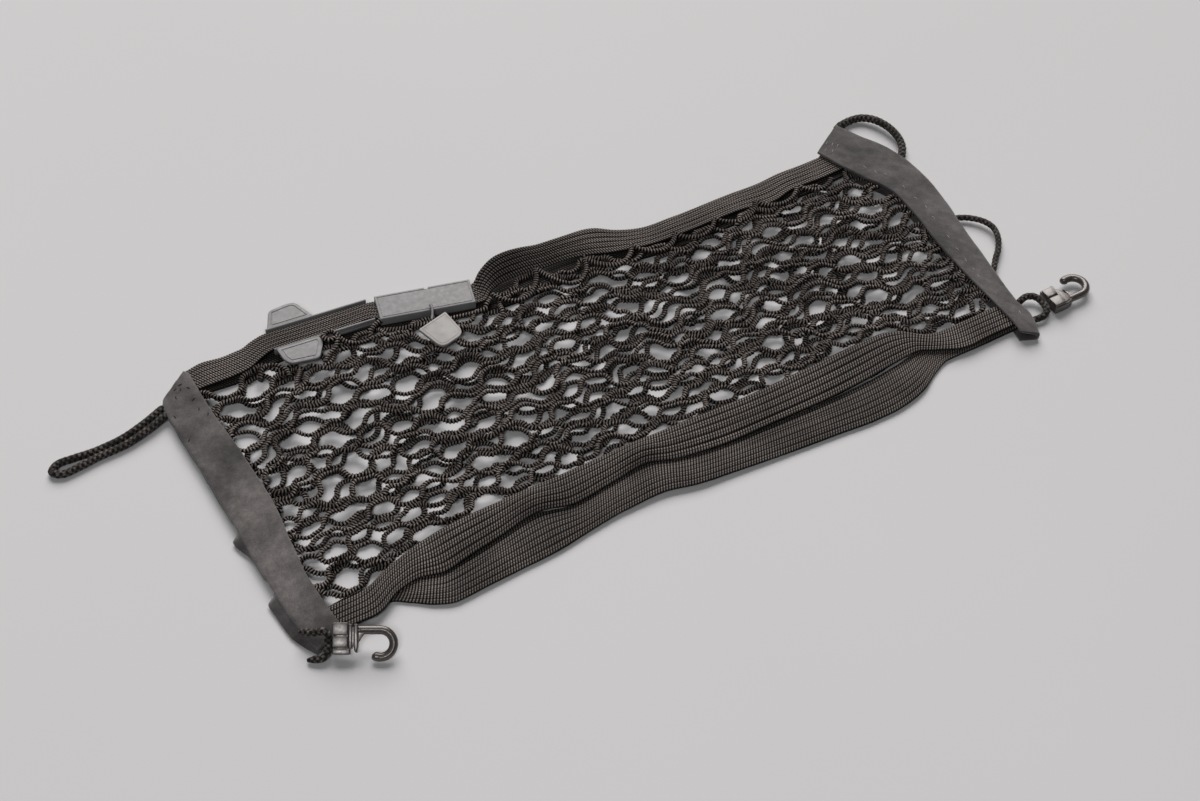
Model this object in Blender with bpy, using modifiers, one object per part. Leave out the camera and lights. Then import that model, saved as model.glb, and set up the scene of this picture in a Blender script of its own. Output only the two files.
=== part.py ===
"""Cargo net for a car boot, lying relaxed on a flat surface.

Two layers of diamond mesh hang between ribbed elastic webbing on both long sides and a
folded grey binding on both short ends. Cord loops and two moulded hooks hang on the
corners, and a plastic clip with a sleeve and a lock tab rides on the far webbing.

Plan coordinates are in millimetres, +X along the net, +Y to the far side, +Z up. One
empty moves the whole plan so that the box of the solids is centred on the origin.
"""
import math

import bmesh
import bpy
from mathutils import Matrix, Vector

MM = 0.001
PLAN_CENTRE = (18.4, 3.57)     # middle of the solids' box in the plan, without the cords

# mesh fabric
COLUMNS = 14                    # cells along the net
LEVELS = 11                     # rows of joints above the near edge
CELL = 31.4                     # cell length along X
JOINT = 6.0                     # length of a joint, where two yarns run side by side
YARN_WIDTH = 3.8
YARN_HEIGHT = 2.3
YARN_DROP = 2.8                 # from a webbing edge to the yarn's centre line
NET_END_INSET = 2.4             # how far the net's ends reach into the bindings
JITTER = 2.6                    # how far slack moves a joint
BOW = 2.4                       # how far slack bends a strand
WAVE_X = 23.0                   # the layers' slow waves: lengths along the net and across it
WAVE_Y = 21.0
WAVE_SKEW = 60.0
EDGE_REACH = 14.0               # how far a webbing's height still lifts the mesh beside it
END_REACH = 16.0                # the same for a binding
YARN_CLEARANCE = 0.05           # least air under a yarn

# webbing
WEB_THICK = 1.6
RIB_HEIGHT = 0.35
WEB_RIBS = 9

# binding
LEAF = 1.2                      # one leaf of the folded binding
MOUTH_Z = 7.5                   # middle of the top leaf at its mouth
LEAF_CROWN = 0.2                # how far the top leaf arches
FLAT_SHARE = 0.62               # share of the under leaf that lies flat on the surface
FOLD_BACK = 1.2                 # how far the top leaf stops short of the fold's edge

# cords and hooks
CORD_DIAMETER = 4.4
CORD_STEP = 10.0                # distance between the points of a cord's spline
HOOK_CORD_STEP = 4.7
HOOK_WIRE = 4.8
HOOK_RADIUS = 7.2
HOOK_BODY = (8.5, 17.0, 7.0)
HOOK_COLLAR = (3.0, 13.5, 6.2)
HOOK_FLANGE = (3.3, 16.0, 7.0)
HOOK_LAP = 0.5                  # how far body, collar and flange reach into each other
HOOK_ARC_STEPS = 12
HOOK_ARC_STEP = 18.0            # degrees
LEFT_REACH = 21.0               # from the body to the middle of the J
RIGHT_REACH = 17.3
LEFT_TILT = math.radians(37.0)  # the left hook leans this far off the surface
LEFT_HOOK_PLACE = (-226.0, -106.0, 9.2)
LEFT_HOOK_AXIS = (0.863, -0.505)
RIGHT_HOOK_PLACE = (256.2, -91.9, 4.5)
SHANK_SIDE = 4.6                # the shank's offset from the body's middle

# clip
CLIP_WALL = 1.2
CHANNEL_MIDDLE = (-132.5, 108.5)
CHANNEL_TURN = math.radians(-6.9)
CHANNEL_SIZE = (63.0, 18.0)
CHANNEL_FLOOR_Z = 3.0
CHANNEL_TOP_Z = 8.0
WING_DROP = 0.2                 # the wings lie this much below the rails
WING_THICK = 1.9
SLEEVE_MIDDLE = (-69.8, 94.9)
SLEEVE_TURN = math.radians(-15.9)
SLEEVE_SIZE = (58.2, 19.6)
SLEEVE_Z = (2.9, 8.6)
TAB_THICK = 2.0
TAB_MIDDLE = (-73.2, 66.6, 9.0)
TAB_TURN = math.radians(13.7)
TAB_TILT = math.radians(6.0)
WIRE_DIAMETER = 1.6
WIRE_STEP = 1.6
WING_LAP = 0.7                  # how far a wing reaches into the trough's wall

BLACK = (0.030, 0.026, 0.024)
GREY_CLOTH = (0.085, 0.080, 0.076)
GREY_PLASTIC = (0.20, 0.20, 0.20)
PALE_PLASTIC = (0.33, 0.31, 0.29)

# One row a station along the band: x, inner edge y and z, crown at the middle,
# outer edge y and z, all of the webbing's middle surface.
NEAR_UPPER = [
    (-224.0, -81.0, 4.9, 0.0, -98.0, 4.9),
    (-212.0, -81.0, 4.9, 0.3, -98.2, 4.8),
    (-198.0, -80.0, 5.1, 0.8, -97.6, 4.6),
    (-185.0, -75.5, 6.5, 1.5, -90.5, 4.6),
    (-170.0, -71.5, 8.0, 2.0, -87.5, 4.8),
    (-155.0, -68.5, 9.0, 2.0, -91.0, 4.8),
    (-138.0, -66.5, 9.5, 1.5, -88.0, 4.8),
    (-118.0, -66.0, 9.5, 1.8, -84.5, 4.8),
    (-92.0, -66.0, 9.3, 3.0, -80.0, 5.2),
    (-70.0, -66.0, 9.0, 2.0, -85.0, 4.8),
    (-48.0, -66.0, 9.0, 2.0, -82.5, 4.8),
    (-22.0, -66.0, 9.0, 3.0, -79.6, 5.2),
    (-5.0, -66.5, 9.0, 2.0, -85.0, 4.8),
    (22.0, -67.5, 9.5, 1.0, -89.5, 4.8),
    (58.0, -69.0, 9.5, 0.5, -90.5, 4.8),
    (92.0, -68.0, 9.5, 0.5, -91.0, 4.8),
    (122.0, -67.0, 9.5, 1.0, -89.5, 4.8),
    (145.0, -66.5, 9.0, 1.5, -87.0, 4.8),
    (160.0, -70.5, 8.0, 1.5, -86.0, 5.0),
    (172.0, -78.5, 6.2, 1.0, -91.0, 5.0),
    (185.0, -80.0, 5.2, 0.5, -97.0, 4.9),
    (205.0, -80.0, 5.0, 0.3, -97.5, 4.9),
    (225.0, -79.5, 4.9, 0.0, -97.5, 4.9),
]
NEAR_LOWER = [
    (-224.0, -79.0, 2.4, 0.0, -97.0, 2.4),
    (-205.0, -77.5, 2.2, 0.2, -94.5, 1.8),
    (-190.0, -79.0, 1.9, 0.4, -92.0, 1.5),
    (-180.0, -82.0, 1.7, 0.9, -98.0, 1.2),
    (-170.0, -83.6, 1.4, 1.8, -105.5, 1.0),
    (-157.0, -88.0, 1.3, 2.3, -110.5, 1.0),
    (-138.0, -86.3, 1.3, 2.4, -109.5, 1.0),
    (-118.0, -82.6, 1.3, 2.4, -108.5, 1.0),
    (-92.0, -78.2, 1.3, 2.6, -107.3, 1.0),
    (-70.0, -83.2, 1.3, 2.2, -104.0, 1.0),
    (-45.0, -80.4, 1.3, 2.3, -101.5, 1.6),
    (-20.0, -77.8, 1.3, 2.6, -101.8, 3.0),
    (-3.0, -83.5, 1.3, 2.2, -106.0, 3.0),
    (22.0, -87.8, 1.3, 2.0, -108.7, 1.8),
    (55.0, -88.7, 1.3, 2.0, -110.5, 1.0),
    (90.0, -89.2, 1.3, 2.0, -111.5, 1.0),
    (112.0, -88.2, 1.3, 2.0, -111.5, 1.0),
    (132.0, -86.6, 1.3, 2.1, -109.0, 1.0),
    (150.0, -84.2, 1.3, 2.0, -103.0, 1.0),
    (165.0, -82.5, 1.5, 1.2, -95.5, 1.3),
    (180.0, -80.5, 1.9, 0.4, -97.0, 1.8),
    (202.0, -80.0, 2.1, 0.2, -99.0, 2.1),
    (225.0, -79.5, 2.4, 0.0, -99.0, 2.4),
]
FAR_UPPER = [
    (-219.0, 99.5, 4.9, 0.0, 115.8, 4.9),
    (-206.0, 99.3, 4.9, 0.4, 117.6, 4.9),
    (-194.0, 98.5, 5.3, 0.5, 115.3, 5.3),
    (-182.0, 99.5, 5.6, 0.5, 115.2, 5.6),
    (-174.0, 102.8, 5.7, 0.3, 117.6, 5.7),
    (-165.5, 105.3, 5.6, 0.2, 119.4, 5.6),
    (-132.0, 101.3, 5.5, 0.2, 115.6, 5.6),
    (-100.5, 97.4, 5.5, 0.2, 111.6, 5.6),
    (-97.5, 94.6, 5.6, 0.0, 111.0, 5.6),
    (-70.0, 86.7, 5.6, 0.0, 103.2, 5.6),
    (-38.6, 77.8, 5.6, 0.0, 94.0, 5.6),
    (-33.0, 82.5, 5.0, 0.5, 95.8, 11.0),
    (-26.0, 87.0, 3.8, 1.0, 97.4, 15.5),
    (-15.0, 88.5, 3.8, 1.5, 98.4, 17.0),
    (-4.0, 88.0, 3.8, 1.5, 98.0, 15.8),
    (8.0, 86.0, 4.0, 1.5, 96.6, 13.8),
    (22.0, 84.5, 4.5, 1.2, 97.0, 11.8),
    (37.0, 80.0, 5.0, 0.8, 97.3, 10.0),
    (47.0, 75.5, 5.3, 0.5, 95.5, 9.0),
    (58.0, 71.9, 5.8, 0.4, 89.2, 7.4),
    (72.0, 68.3, 6.2, 0.3, 84.3, 6.0),
    (95.0, 66.5, 6.5, 0.3, 83.0, 5.2),
    (138.0, 65.5, 6.5, 0.4, 82.5, 5.0),
    (156.0, 62.0, 6.5, 0.8, 81.6, 5.0),
    (174.0, 65.6, 6.2, 0.6, 82.8, 5.0),
    (192.0, 65.5, 5.6, 0.4, 82.2, 5.0),
    (213.0, 66.5, 4.9, 0.0, 82.6, 4.9),
]
FAR_LOWER = [
    (-219.0, 97.5, 2.4, 0.0, 114.0, 2.4),
    (-190.0, 96.0, 1.1, 0.0, 113.0, 1.1),
    (-165.0, 99.0, 1.1, 0.0, 116.0, 1.1),
    (-105.0, 92.0, 1.1, 0.0, 109.0, 1.1),
    (-45.0, 75.0, 1.1, 0.0, 92.0, 1.1),
    (-20.0, 70.0, 1.1, 0.0, 88.0, 1.1),
    (10.0, 70.0, 1.1, 0.0, 88.0, 1.1),
    (40.0, 70.0, 1.1, 0.0, 88.0, 1.1),
    (70.0, 64.0, 1.1, 0.0, 82.0, 1.1),
    (150.0, 62.0, 1.1, 0.0, 80.0, 1.1),
    (190.0, 62.0, 1.1, 0.0, 79.5, 1.1),
    (201.0, 62.5, 2.4, 0.0, 80.0, 2.4),
    (213.0, 63.0, 2.4, 0.0, 80.0, 2.4),
]

# One row a section across a binding: the mouth's x and y, the fold's x and y, the top
# leaf's height at the fold, the under leaf's height there and how far that leaf peeks out.
STRIP_LEFT = [
    (-215.4, 117.8, -238.0, 101.0, 5.0, 1.6, 0.0),
    (-216.3, 103.0, -239.5, 93.0, 5.4, 2.0, 0.0),
    (-216.8, 78.0, -240.0, 74.0, 5.8, 2.4, 0.0),
    (-215.4, 40.0, -240.3, 38.0, 5.8, 2.4, 0.0),
    (-215.4, 4.0, -241.0, 3.0, 5.8, 2.2, 0.0),
    (-216.6, -11.0, -241.6, -12.0, 5.6, 1.8, 4.5),
    (-218.6, -24.0, -242.0, -25.0, 5.6, 1.8, 1.0),
    (-220.6, -42.0, -242.4, -44.0, 5.6, 2.0, 0.0),
    (-222.4, -60.0, -242.4, -62.0, 5.2, 1.6, 3.5),
    (-222.2, -80.0, -241.5, -85.0, 4.8, 1.2, 5.0),
    (-221.2, -99.5, -238.8, -103.5, 4.6, 1.0, 0.5),
]
STRIP_RIGHT = [
    (204.0, 84.6, 230.7, 103.0, 4.6, 1.0, 0.0),
    (209.8, 68.0, 237.7, 88.0, 4.6, 1.0, 0.0),
    (216.8, 50.0, 247.2, 68.0, 4.8, 1.0, 0.0),
    (223.0, 37.0, 251.2, 51.0, 4.8, 1.0, 0.0),
    (225.4, 24.0, 252.3, 34.0, 4.8, 1.0, 0.0),
    (224.8, 4.0, 250.0, 8.0, 4.6, 1.0, 0.0),
    (222.8, -16.0, 246.3, -14.0, 4.6, 1.0, 0.0),
    (221.8, -52.0, 240.9, -52.0, 4.6, 1.0, 0.0),
    (222.4, -80.0, 237.0, -80.0, 4.6, 1.0, 0.0),
    (222.2, -101.0, 235.6, -102.0, 5.0, 1.2, 0.0),
    (221.4, -106.0, 232.0, -111.0, 5.0, 1.2, 0.0),
]

# The routes of the free cords: x, y and z of the middle line.
LOOP_LEFT = [
    (-240.6, 96.9, 4.2), (-253.8, 92.4, 3.4), (-269.2, 88.9, 2.6), (-286.2, 88.2, 2.4),
    (-298.0, 89.4, 2.4), (-307.6, 89.8, 2.4), (-312.6, 85.8, 2.4), (-308.0, 81.6, 2.4),
    (-298.0, 81.8, 2.4), (-285.4, 83.2, 2.4), (-268.4, 83.8, 2.6), (-252.8, 87.2, 3.4),
    (-240.9, 91.2, 4.0),
]
LOOP_RIGHT_FAR = [
    (233.0, 102.4, 3.2), (241.0, 103.4, 3.0), (248.5, 101.8, 3.4), (254.5, 95.6, 4.2),
    (258.0, 86.0, 4.6), (258.8, 76.0, 4.2), (256.6, 66.6, 3.4), (251.4, 59.6, 2.6),
]
LOOP_RIGHT_MID = [
    (249.2, -4.4, 3.0), (255.0, -8.3, 3.2), (260.0, -14.8, 3.8), (262.2, -22.6, 4.0),
    (260.0, -31.0, 3.8), (254.6, -39.0, 3.2), (248.2, -45.0, 2.8), (243.2, -50.4, 2.6),
]
HOOK_CORD_LEFT = [
    (-240.0, -92.0, 8.3), (-236.4, -95.6, 9.6), (-232.4, -98.6, 11.6), (-231.2, -101.0, 11.0),
    (-232.4, -103.4, 8.2), (-234.6, -106.8, 5.4), (-238.6, -108.6, 3.4), (-242.4, -106.6, 2.6),
]
WIRE_ROUTE = [
    (-70.0, 87.6, 9.1), (-70.0, 87.3, 10.3), (-70.3, 85.4, 11.0), (-71.2, 82.4, 10.8),
    (-73.2, 78.8, 10.2), (-75.0, 76.3, 10.1),
]
HOOK_CORD_RIGHT = [
    (237.6, -82.6, 3.4), (243.5, -81.6, 4.2), (248.0, -84.4, 4.6), (249.2, -90.5, 4.6),
    (248.0, -96.4, 4.2), (243.5, -99.2, 3.4), (236.7, -98.6, 3.0),
]


# ---------------------------------------------------------------- helpers

def collection(name):
    made = bpy.data.collections.new(name)
    bpy.context.scene.collection.children.link(made)
    return made


def material(name, colour, roughness, metallic=0.0):
    made = bpy.data.materials.new(name)
    made.use_nodes = True
    shader = made.node_tree.nodes["Principled BSDF"]
    shader.inputs["Base Color"].default_value = (*colour, 1.0)
    shader.inputs["Roughness"].default_value = roughness
    shader.inputs["Metallic"].default_value = metallic
    made.diffuse_color = (*colour, 1.0)
    return made


def add_object(name, mesh, look, parent, group):
    """Link a mesh as one named sub-part of the net."""
    piece = bpy.data.objects.new(name, mesh)
    group.objects.link(piece)
    piece.parent = parent
    piece.data.materials.append(look)
    return piece


def mesh_from_bmesh(name, shape):
    bmesh.ops.recalc_face_normals(shape, faces=shape.faces)
    mesh = bpy.data.meshes.new(name)
    shape.to_mesh(mesh)
    shape.free()
    return mesh


def loft(name, rings):
    """A closed solid through rings of equal length, given in millimetres."""
    shape = bmesh.new()
    loops = [[shape.verts.new(Vector(point) * MM) for point in ring] for ring in rings]
    count = len(loops[0])
    for first, second in zip(loops, loops[1:]):
        for index in range(count):
            following = (index + 1) % count
            shape.faces.new((first[index], first[following], second[following], second[index]))
    shape.faces.new(loops[0])
    shape.faces.new(loops[-1])
    return mesh_from_bmesh(name, shape)


def interpolate(x, rows, column):
    """Read one column of a table at x, straight between its rows."""
    if x <= rows[0][0]:
        return rows[0][column]
    for before, after in zip(rows, rows[1:]):
        if x <= after[0]:
            share = (x - before[0]) / (after[0] - before[0])
            return before[column] + share * (after[column] - before[column])
    return rows[-1][column]


def evaluated_mesh(piece):
    """The mesh that an object's modifiers make."""
    bpy.context.view_layer.update()
    graph = bpy.context.evaluated_depsgraph_get()
    return bpy.data.meshes.new_from_object(piece.evaluated_get(graph))


# ---------------------------------------------------------------- webbing

def web_section(row, ribs):
    """One cross-section of ribbed webbing, from its row in a band's table."""
    x, inner_y, inner_z, crown, outer_y, outer_z = row

    def middle(share):
        y = inner_y + share * (outer_y - inner_y)
        arch = 4.0 * crown * share * (1.0 - share)      # a parabola, crown high at the middle
        return y, inner_z + share * (outer_z - inner_z) + arch

    def offset(share, distance):
        y, z = middle(share)
        slope_y = outer_y - inner_y
        slope_z = outer_z - inner_z + 4.0 * crown * (1.0 - 2.0 * share)
        length = math.hypot(slope_y, slope_z)
        side = 1.0 if slope_y > 0 else -1.0
        return x, y - side * slope_z / length * distance, z + side * slope_y / length * distance

    steps = 2 * ribs
    top = []
    for index in range(steps + 1):
        lift = RIB_HEIGHT if index % 2 else 0.0
        top.append(offset(index / steps, WEB_THICK / 2 + lift))
    under = [offset(share, -WEB_THICK / 2) for share in (1.0, 0.75, 0.5, 0.25, 0.0)]
    return top + under


def webbing(name, rows, ribs, look, parent, group):
    mesh = loft(name, [web_section(row, ribs) for row in rows])
    return add_object(name, mesh, look, parent, group)


# ---------------------------------------------------------------- binding

def strip_section(row, side):
    """A folded leaf: down from the mouth to the fold and back under, side is +1 or -1."""
    mouth_x, mouth_y, fold_x, fold_y, fold_z, under_z, peek = row
    across = Vector((fold_x - mouth_x, fold_y - mouth_y, 0.0))
    width = across.length
    across.normalize()
    half = LEAF / 2

    def place(distance, z):
        return (mouth_x + across.x * distance, mouth_y + across.y * distance, z)

    tip = width + peek
    middle_z = (MOUTH_Z + fold_z) / 2 + LEAF_CROWN
    outside = [(0.0, MOUTH_Z + half), (width / 2, middle_z + half),
               (width - FOLD_BACK, fold_z + half), (width, fold_z - half / 2),
               (tip, under_z + half), (tip - FOLD_BACK / 2, under_z - half),
               (FLAT_SHARE * width, 0.0), (0.0, 0.0)]
    inside = [(0.0, LEAF), (FLAT_SHARE * width, LEAF),
              (width - 2 * FOLD_BACK, under_z + half),
              (width - 1.5 * FOLD_BACK, fold_z - 2 * half),
              (width - 2.5 * FOLD_BACK, fold_z - half),
              (width / 2, middle_z - half), (0.0, MOUTH_Z - half)]
    ring = [place(*point) for point in outside + inside]
    return ring if side > 0 else list(reversed(ring))


def binding(name, rows, side, look, parent, group):
    mesh = loft(name, [strip_section(row, side) for row in rows])
    return add_object(name, mesh, look, parent, group)


# ---------------------------------------------------------------- mesh fabric

def scatter(i, j, salt):
    """A repeatable value between -1 and 1 for one joint of the mesh."""
    return 2.0 * ((math.sin(i * 12.9898 + j * 78.233 + salt * 37.719) * 43758.5453) % 1.0) - 1.0


class Layer:
    """One layer of mesh: where its edges run and how high it lies."""

    def __init__(self, salt, near, far, middle_z, waves, end_z, pressed=(), bends=False):
        self.salt = salt
        self.near = near            # rows of x, y, z along the near edge
        self.far = far
        self.middle_z = middle_z    # height of the layer's middle between its edges
        self.waves = waves
        self.end_z = end_z          # height inside the bindings
        self.pressed = pressed      # x, y, radius and depth where something lies on it
        self.bends = bends          # True gives each strand a bend at its middle

    def ends(self, y):
        """The x of both ends at a place across the net, a little inside the bindings."""
        left = interpolate(-y, [(-row[1], row[0]) for row in STRIP_LEFT], 1)
        right = interpolate(-y, [(-row[1], row[0]) for row in STRIP_RIGHT], 1)
        return left - NET_END_INSET, right + NET_END_INSET

    def across(self, x, share):
        near_y = interpolate(x, self.near, 1)
        far_y = interpolate(x, self.far, 1)
        return near_y + (far_y - near_y) * share

    def plan(self, u, v):
        """The place of lattice point (u columns, v levels) with its slack."""
        share = v / LEVELS
        x = (u - COLUMNS / 2) * CELL
        # the ends depend on y, and y on x, so two passes find the place
        for _ in range(2):
            left, right = self.ends(self.across(x, share))
            x = left + (right - left) * u / COLUMNS
        y = self.across(x, share)
        # whole numbers that name the joint's end, so that each neighbour moves it alike
        seed_u = round(u * 40)
        seed_v = round(v * 4)
        if 0 < round(u) < COLUMNS:
            x += JITTER * scatter(seed_u, seed_v, self.salt)
        if 0 < v < LEVELS:
            y += JITTER * scatter(seed_v, seed_u, self.salt + 5)
        return x, y

    def rise(self, x, y):
        """The height of the layer's middle surface at a place of the plan."""
        near_y = interpolate(x, self.near, 1)
        far_y = interpolate(x, self.far, 1)
        near_z = interpolate(x, self.near, 2)
        far_z = interpolate(x, self.far, 2)
        wave = math.sin(x / WAVE_X + self.salt) * math.cos(y / WAVE_Y + x / WAVE_SKEW)
        base = self.middle_z + self.waves * wave
        from_near = math.exp(-max(y - near_y, 0.0) / EDGE_REACH)
        from_far = math.exp(-max(far_y - y, 0.0) / EDGE_REACH)
        z = base + (near_z - base) * from_near + (far_z - base) * from_far
        for spot_x, spot_y, radius, depth in self.pressed:
            away = ((x - spot_x) ** 2 + (y - spot_y) ** 2) / radius ** 2
            z -= depth * math.exp(-away)
        left, right = self.ends(y)
        nearest_end = max(min(x - left, right - x) - NET_END_INSET, 0.0)
        held = math.exp(-(nearest_end / END_REACH) ** 2)
        return max(z + (self.end_z - z) * held, YARN_HEIGHT / 2 + YARN_CLEARANCE)


def mesh_cells():
    """The cells of the diamond mesh as loops of lattice points."""
    half = JOINT / 2 / CELL     # half a joint, in columns
    cells = []
    for level in range(1, LEVELS):
        shifted = level % 2 == 0
        centres = range(0, COLUMNS + 1) if shifted else [i + 0.5 for i in range(COLUMNS)]
        for centre in centres:
            corners = [(centre - 0.5 + half, level), (centre - half, level - 1),
                       (centre + half, level - 1), (centre + 0.5 - half, level),
                       (centre + half, level + 1), (centre - half, level + 1)]
            if centre == 0:
                corners = [(0, level - 1)] + corners[2:5] + [(0, level + 1)]
            if centre == COLUMNS:
                corners = [corners[0], corners[1], (COLUMNS, level - 1),
                           (COLUMNS, level + 1), corners[5]]
            cells.append(corners)
    return cells


def strand_middle(layer, start, end):
    """The bent middle of a diagonal strand between two joints."""
    (u1, v1), (u2, v2) = start, end
    x1, y1 = layer.plan(u1, v1)
    x2, y2 = layer.plan(u2, v2)
    length = math.hypot(x2 - x1, y2 - y1)
    bow = BOW * scatter(round((u1 + u2) * 20), round((v1 + v2) * 2), layer.salt + 9)
    # the same bow whichever cell asks, so it is measured from the lower joint
    if v1 > v2:
        bow = -bow
    normal = (-(y2 - y1) / length, (x2 - x1) / length)
    return ((x1 + x2) / 2 + normal[0] * bow, (y1 + y2) / 2 + normal[1] * bow)


def mesh_layer(name, layer, look, parent, group):
    """The diamond mesh of one layer, as struts of four sides on its draped surface."""
    shape = bmesh.new()
    known = {}

    def vertex(key, place):
        if key not in known:
            known[key] = shape.verts.new((place[0] * MM, place[1] * MM, 0.0))
        return known[key]

    for corners in mesh_cells():
        ring = []
        for start, end in zip(corners, corners[1:] + corners[:1]):
            key = (round(start[0] * 1000), start[1])
            ring.append(vertex(key, layer.plan(*start)))
            diagonal = start[1] != end[1] and start[0] != end[0]
            if diagonal and layer.bends:
                key = (round((start[0] + end[0]) * 500), (start[1] + end[1]) / 2)
                ring.append(vertex(key, strand_middle(layer, start, end)))
        shape.faces.new(ring)
    flat = bpy.data.objects.new(name + "_flat", mesh_from_bmesh(name + "_flat", shape))
    bpy.context.scene.collection.objects.link(flat)
    wire = flat.modifiers.new("yarn", "WIREFRAME")
    wire.thickness = YARN_WIDTH * MM
    wire.offset = 0.0
    wire.use_boundary = True
    wire.use_even_offset = True
    wire.use_relative_offset = False
    mesh = evaluated_mesh(flat)
    bpy.data.objects.remove(flat)
    for point in mesh.vertices:
        x, y, z = point.co / MM
        point.co.z = (z * YARN_HEIGHT / YARN_WIDTH + layer.rise(x, y)) * MM
    mesh.name = name
    return add_object(name, mesh, look, parent, group)


# ---------------------------------------------------------------- cords

def smooth_route(points, step):
    """Points at about equal steps on a Catmull-Rom curve through the route."""
    places = [Vector(point) for point in points]
    padded = [2 * places[0] - places[1]] + places + [2 * places[-1] - places[-2]]
    fine = []
    for index in range(1, len(padded) - 2):
        before, start, end, after = padded[index - 1:index + 3]
        for part in range(12):
            t = part / 12
            fine.append(0.5 * (2 * start + (end - before) * t
                               + (2 * before - 5 * start + 4 * end - after) * t * t
                               + (3 * start - before - 3 * end + after) * t ** 3))
    fine.append(places[-1])
    total = sum((b - a).length for a, b in zip(fine, fine[1:]))
    count = max(3, round(total / step))
    route = [fine[0]]
    walked = 0.0
    for a, b in zip(fine, fine[1:]):
        walked += (b - a).length
        if walked >= len(route) * total / count - 1e-6 and len(route) < count:
            route.append(b)
    route.append(fine[-1])
    return route


def tube(name, points, diameter, look, parent, group, step, sides=2):
    """A cord or wire: a poly spline with a round bevel and filled caps."""
    curve = bpy.data.curves.new(name, "CURVE")
    curve.dimensions = "3D"
    curve.bevel_depth = diameter / 2 * MM
    curve.bevel_resolution = sides
    curve.use_fill_caps = True
    spline = curve.splines.new("POLY")
    route = smooth_route(points, step)
    spline.points.add(len(route) - 1)
    for target, place in zip(spline.points, route):
        target.co = (*(place * MM), 1.0)
    return add_object(name, curve, look, parent, group)


# ---------------------------------------------------------------- boxes and joins

def box(name, size, middle, group, bevel=0.0, turn=None):
    """A box of size and middle in millimetres, with bevelled edges."""
    shape = bmesh.new()
    bmesh.ops.create_cube(shape, size=1.0)
    bmesh.ops.scale(shape, vec=Vector(size) * MM, verts=shape.verts)
    if bevel:
        bmesh.ops.bevel(shape, geom=shape.edges, offset=bevel * MM, segments=1,
                        affect="EDGES")
    if turn is not None:
        bmesh.ops.rotate(shape, matrix=Matrix.Rotation(turn, 3, "Z"), verts=shape.verts)
    bmesh.ops.translate(shape, vec=Vector(middle) * MM, verts=shape.verts)
    piece = bpy.data.objects.new(name, mesh_from_bmesh(name, shape))
    group.objects.link(piece)
    return piece


def plate(name, outline, low, high, group):
    """A flat piece with the given outline, from height low to height high."""
    shape = bmesh.new()
    base = [shape.verts.new((x * MM, y * MM, low * MM)) for x, y in outline]
    face = shape.faces.new(base)
    raised = bmesh.ops.extrude_face_region(shape, geom=[face])
    moved = [item for item in raised["geom"] if isinstance(item, bmesh.types.BMVert)]
    bmesh.ops.translate(shape, vec=(0, 0, (high - low) * MM), verts=moved)
    piece = bpy.data.objects.new(name, mesh_from_bmesh(name, shape))
    group.objects.link(piece)
    return piece


def boolean(target, tool, operation):
    """Join to or cut from a target, for good, and drop the tool."""
    step = target.modifiers.new(operation.lower(), "BOOLEAN")
    step.operation = operation
    step.solver = "EXACT"
    step.object = tool
    mesh = evaluated_mesh(target)
    target.modifiers.remove(step)
    target.data = mesh
    bpy.data.objects.remove(tool)


# ---------------------------------------------------------------- hooks

def hook_route(reach):
    """The middle line of shank and hook: straight, then most of a circle."""
    start = HOOK_BODY[0] / 2 + HOOK_COLLAR[0] + HOOK_LAP
    centre = (reach, SHANK_SIDE - HOOK_RADIUS)
    points = [(start, SHANK_SIDE, 0.0), ((start + reach) / 2, SHANK_SIDE, 0.0)]
    for index in range(HOOK_ARC_STEPS + 1):
        angle = math.radians(90.0 - index * HOOK_ARC_STEP)
        points.append((centre[0] + HOOK_RADIUS * math.cos(angle),
                       centre[1] + HOOK_RADIUS * math.sin(angle), 0.0))
    return points


def hook(name, reach, matrix, look, parent, group, cutters):
    """A moulded hook: block for the cord, collar, flange and a round J."""
    body = box(name, HOOK_BODY, (0, 0, 0), group, bevel=1.2)
    collar_x = HOOK_BODY[0] / 2 + HOOK_COLLAR[0] / 2 - HOOK_LAP
    collar = box("collar", HOOK_COLLAR, (collar_x, 0.6, 0), cutters, bevel=0.5)
    boolean(body, collar, "UNION")
    flange_x = collar_x + HOOK_COLLAR[0] / 2 + HOOK_FLANGE[0] / 2 - HOOK_LAP
    flange = box("flange", HOOK_FLANGE, (flange_x, 0.2, 0), cutters, bevel=0.8)
    boolean(body, flange, "UNION")
    route = hook_route(reach)
    curve = bpy.data.curves.new("shank", "CURVE")
    curve.dimensions = "3D"
    curve.bevel_depth = HOOK_WIRE / 2 * MM
    curve.bevel_resolution = 2
    curve.use_fill_caps = True
    spline = curve.splines.new("POLY")
    spline.points.add(len(route) - 1)
    for target, place in zip(spline.points, route):
        target.co = (place[0] * MM, place[1] * MM, place[2] * MM, 1.0)
    rod = bpy.data.objects.new("shank", curve)
    cutters.objects.link(rod)
    mesh = evaluated_mesh(rod)
    bpy.data.objects.remove(rod)
    shape = bmesh.new()
    shape.from_mesh(mesh)
    bmesh.ops.remove_doubles(shape, verts=shape.verts, dist=0.01 * MM)
    rod = bpy.data.objects.new("shank", mesh_from_bmesh("shank", shape))
    cutters.objects.link(rod)
    boolean(body, rod, "UNION")
    body.parent = parent
    body.matrix_local = matrix
    body.data.materials.clear()
    body.data.materials.append(look)
    return body


def axes_matrix(x_axis, y_axis, place):
    """A placing matrix from two unit axes and a place in millimetres."""
    x_axis = Vector(x_axis).normalized()
    y_axis = Vector(y_axis).normalized()
    z_axis = x_axis.cross(y_axis)
    turned = Matrix((x_axis, y_axis, z_axis)).transposed().to_4x4()
    return Matrix.Translation(Vector(place) * MM) @ turned


# ---------------------------------------------------------------- clip

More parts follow.
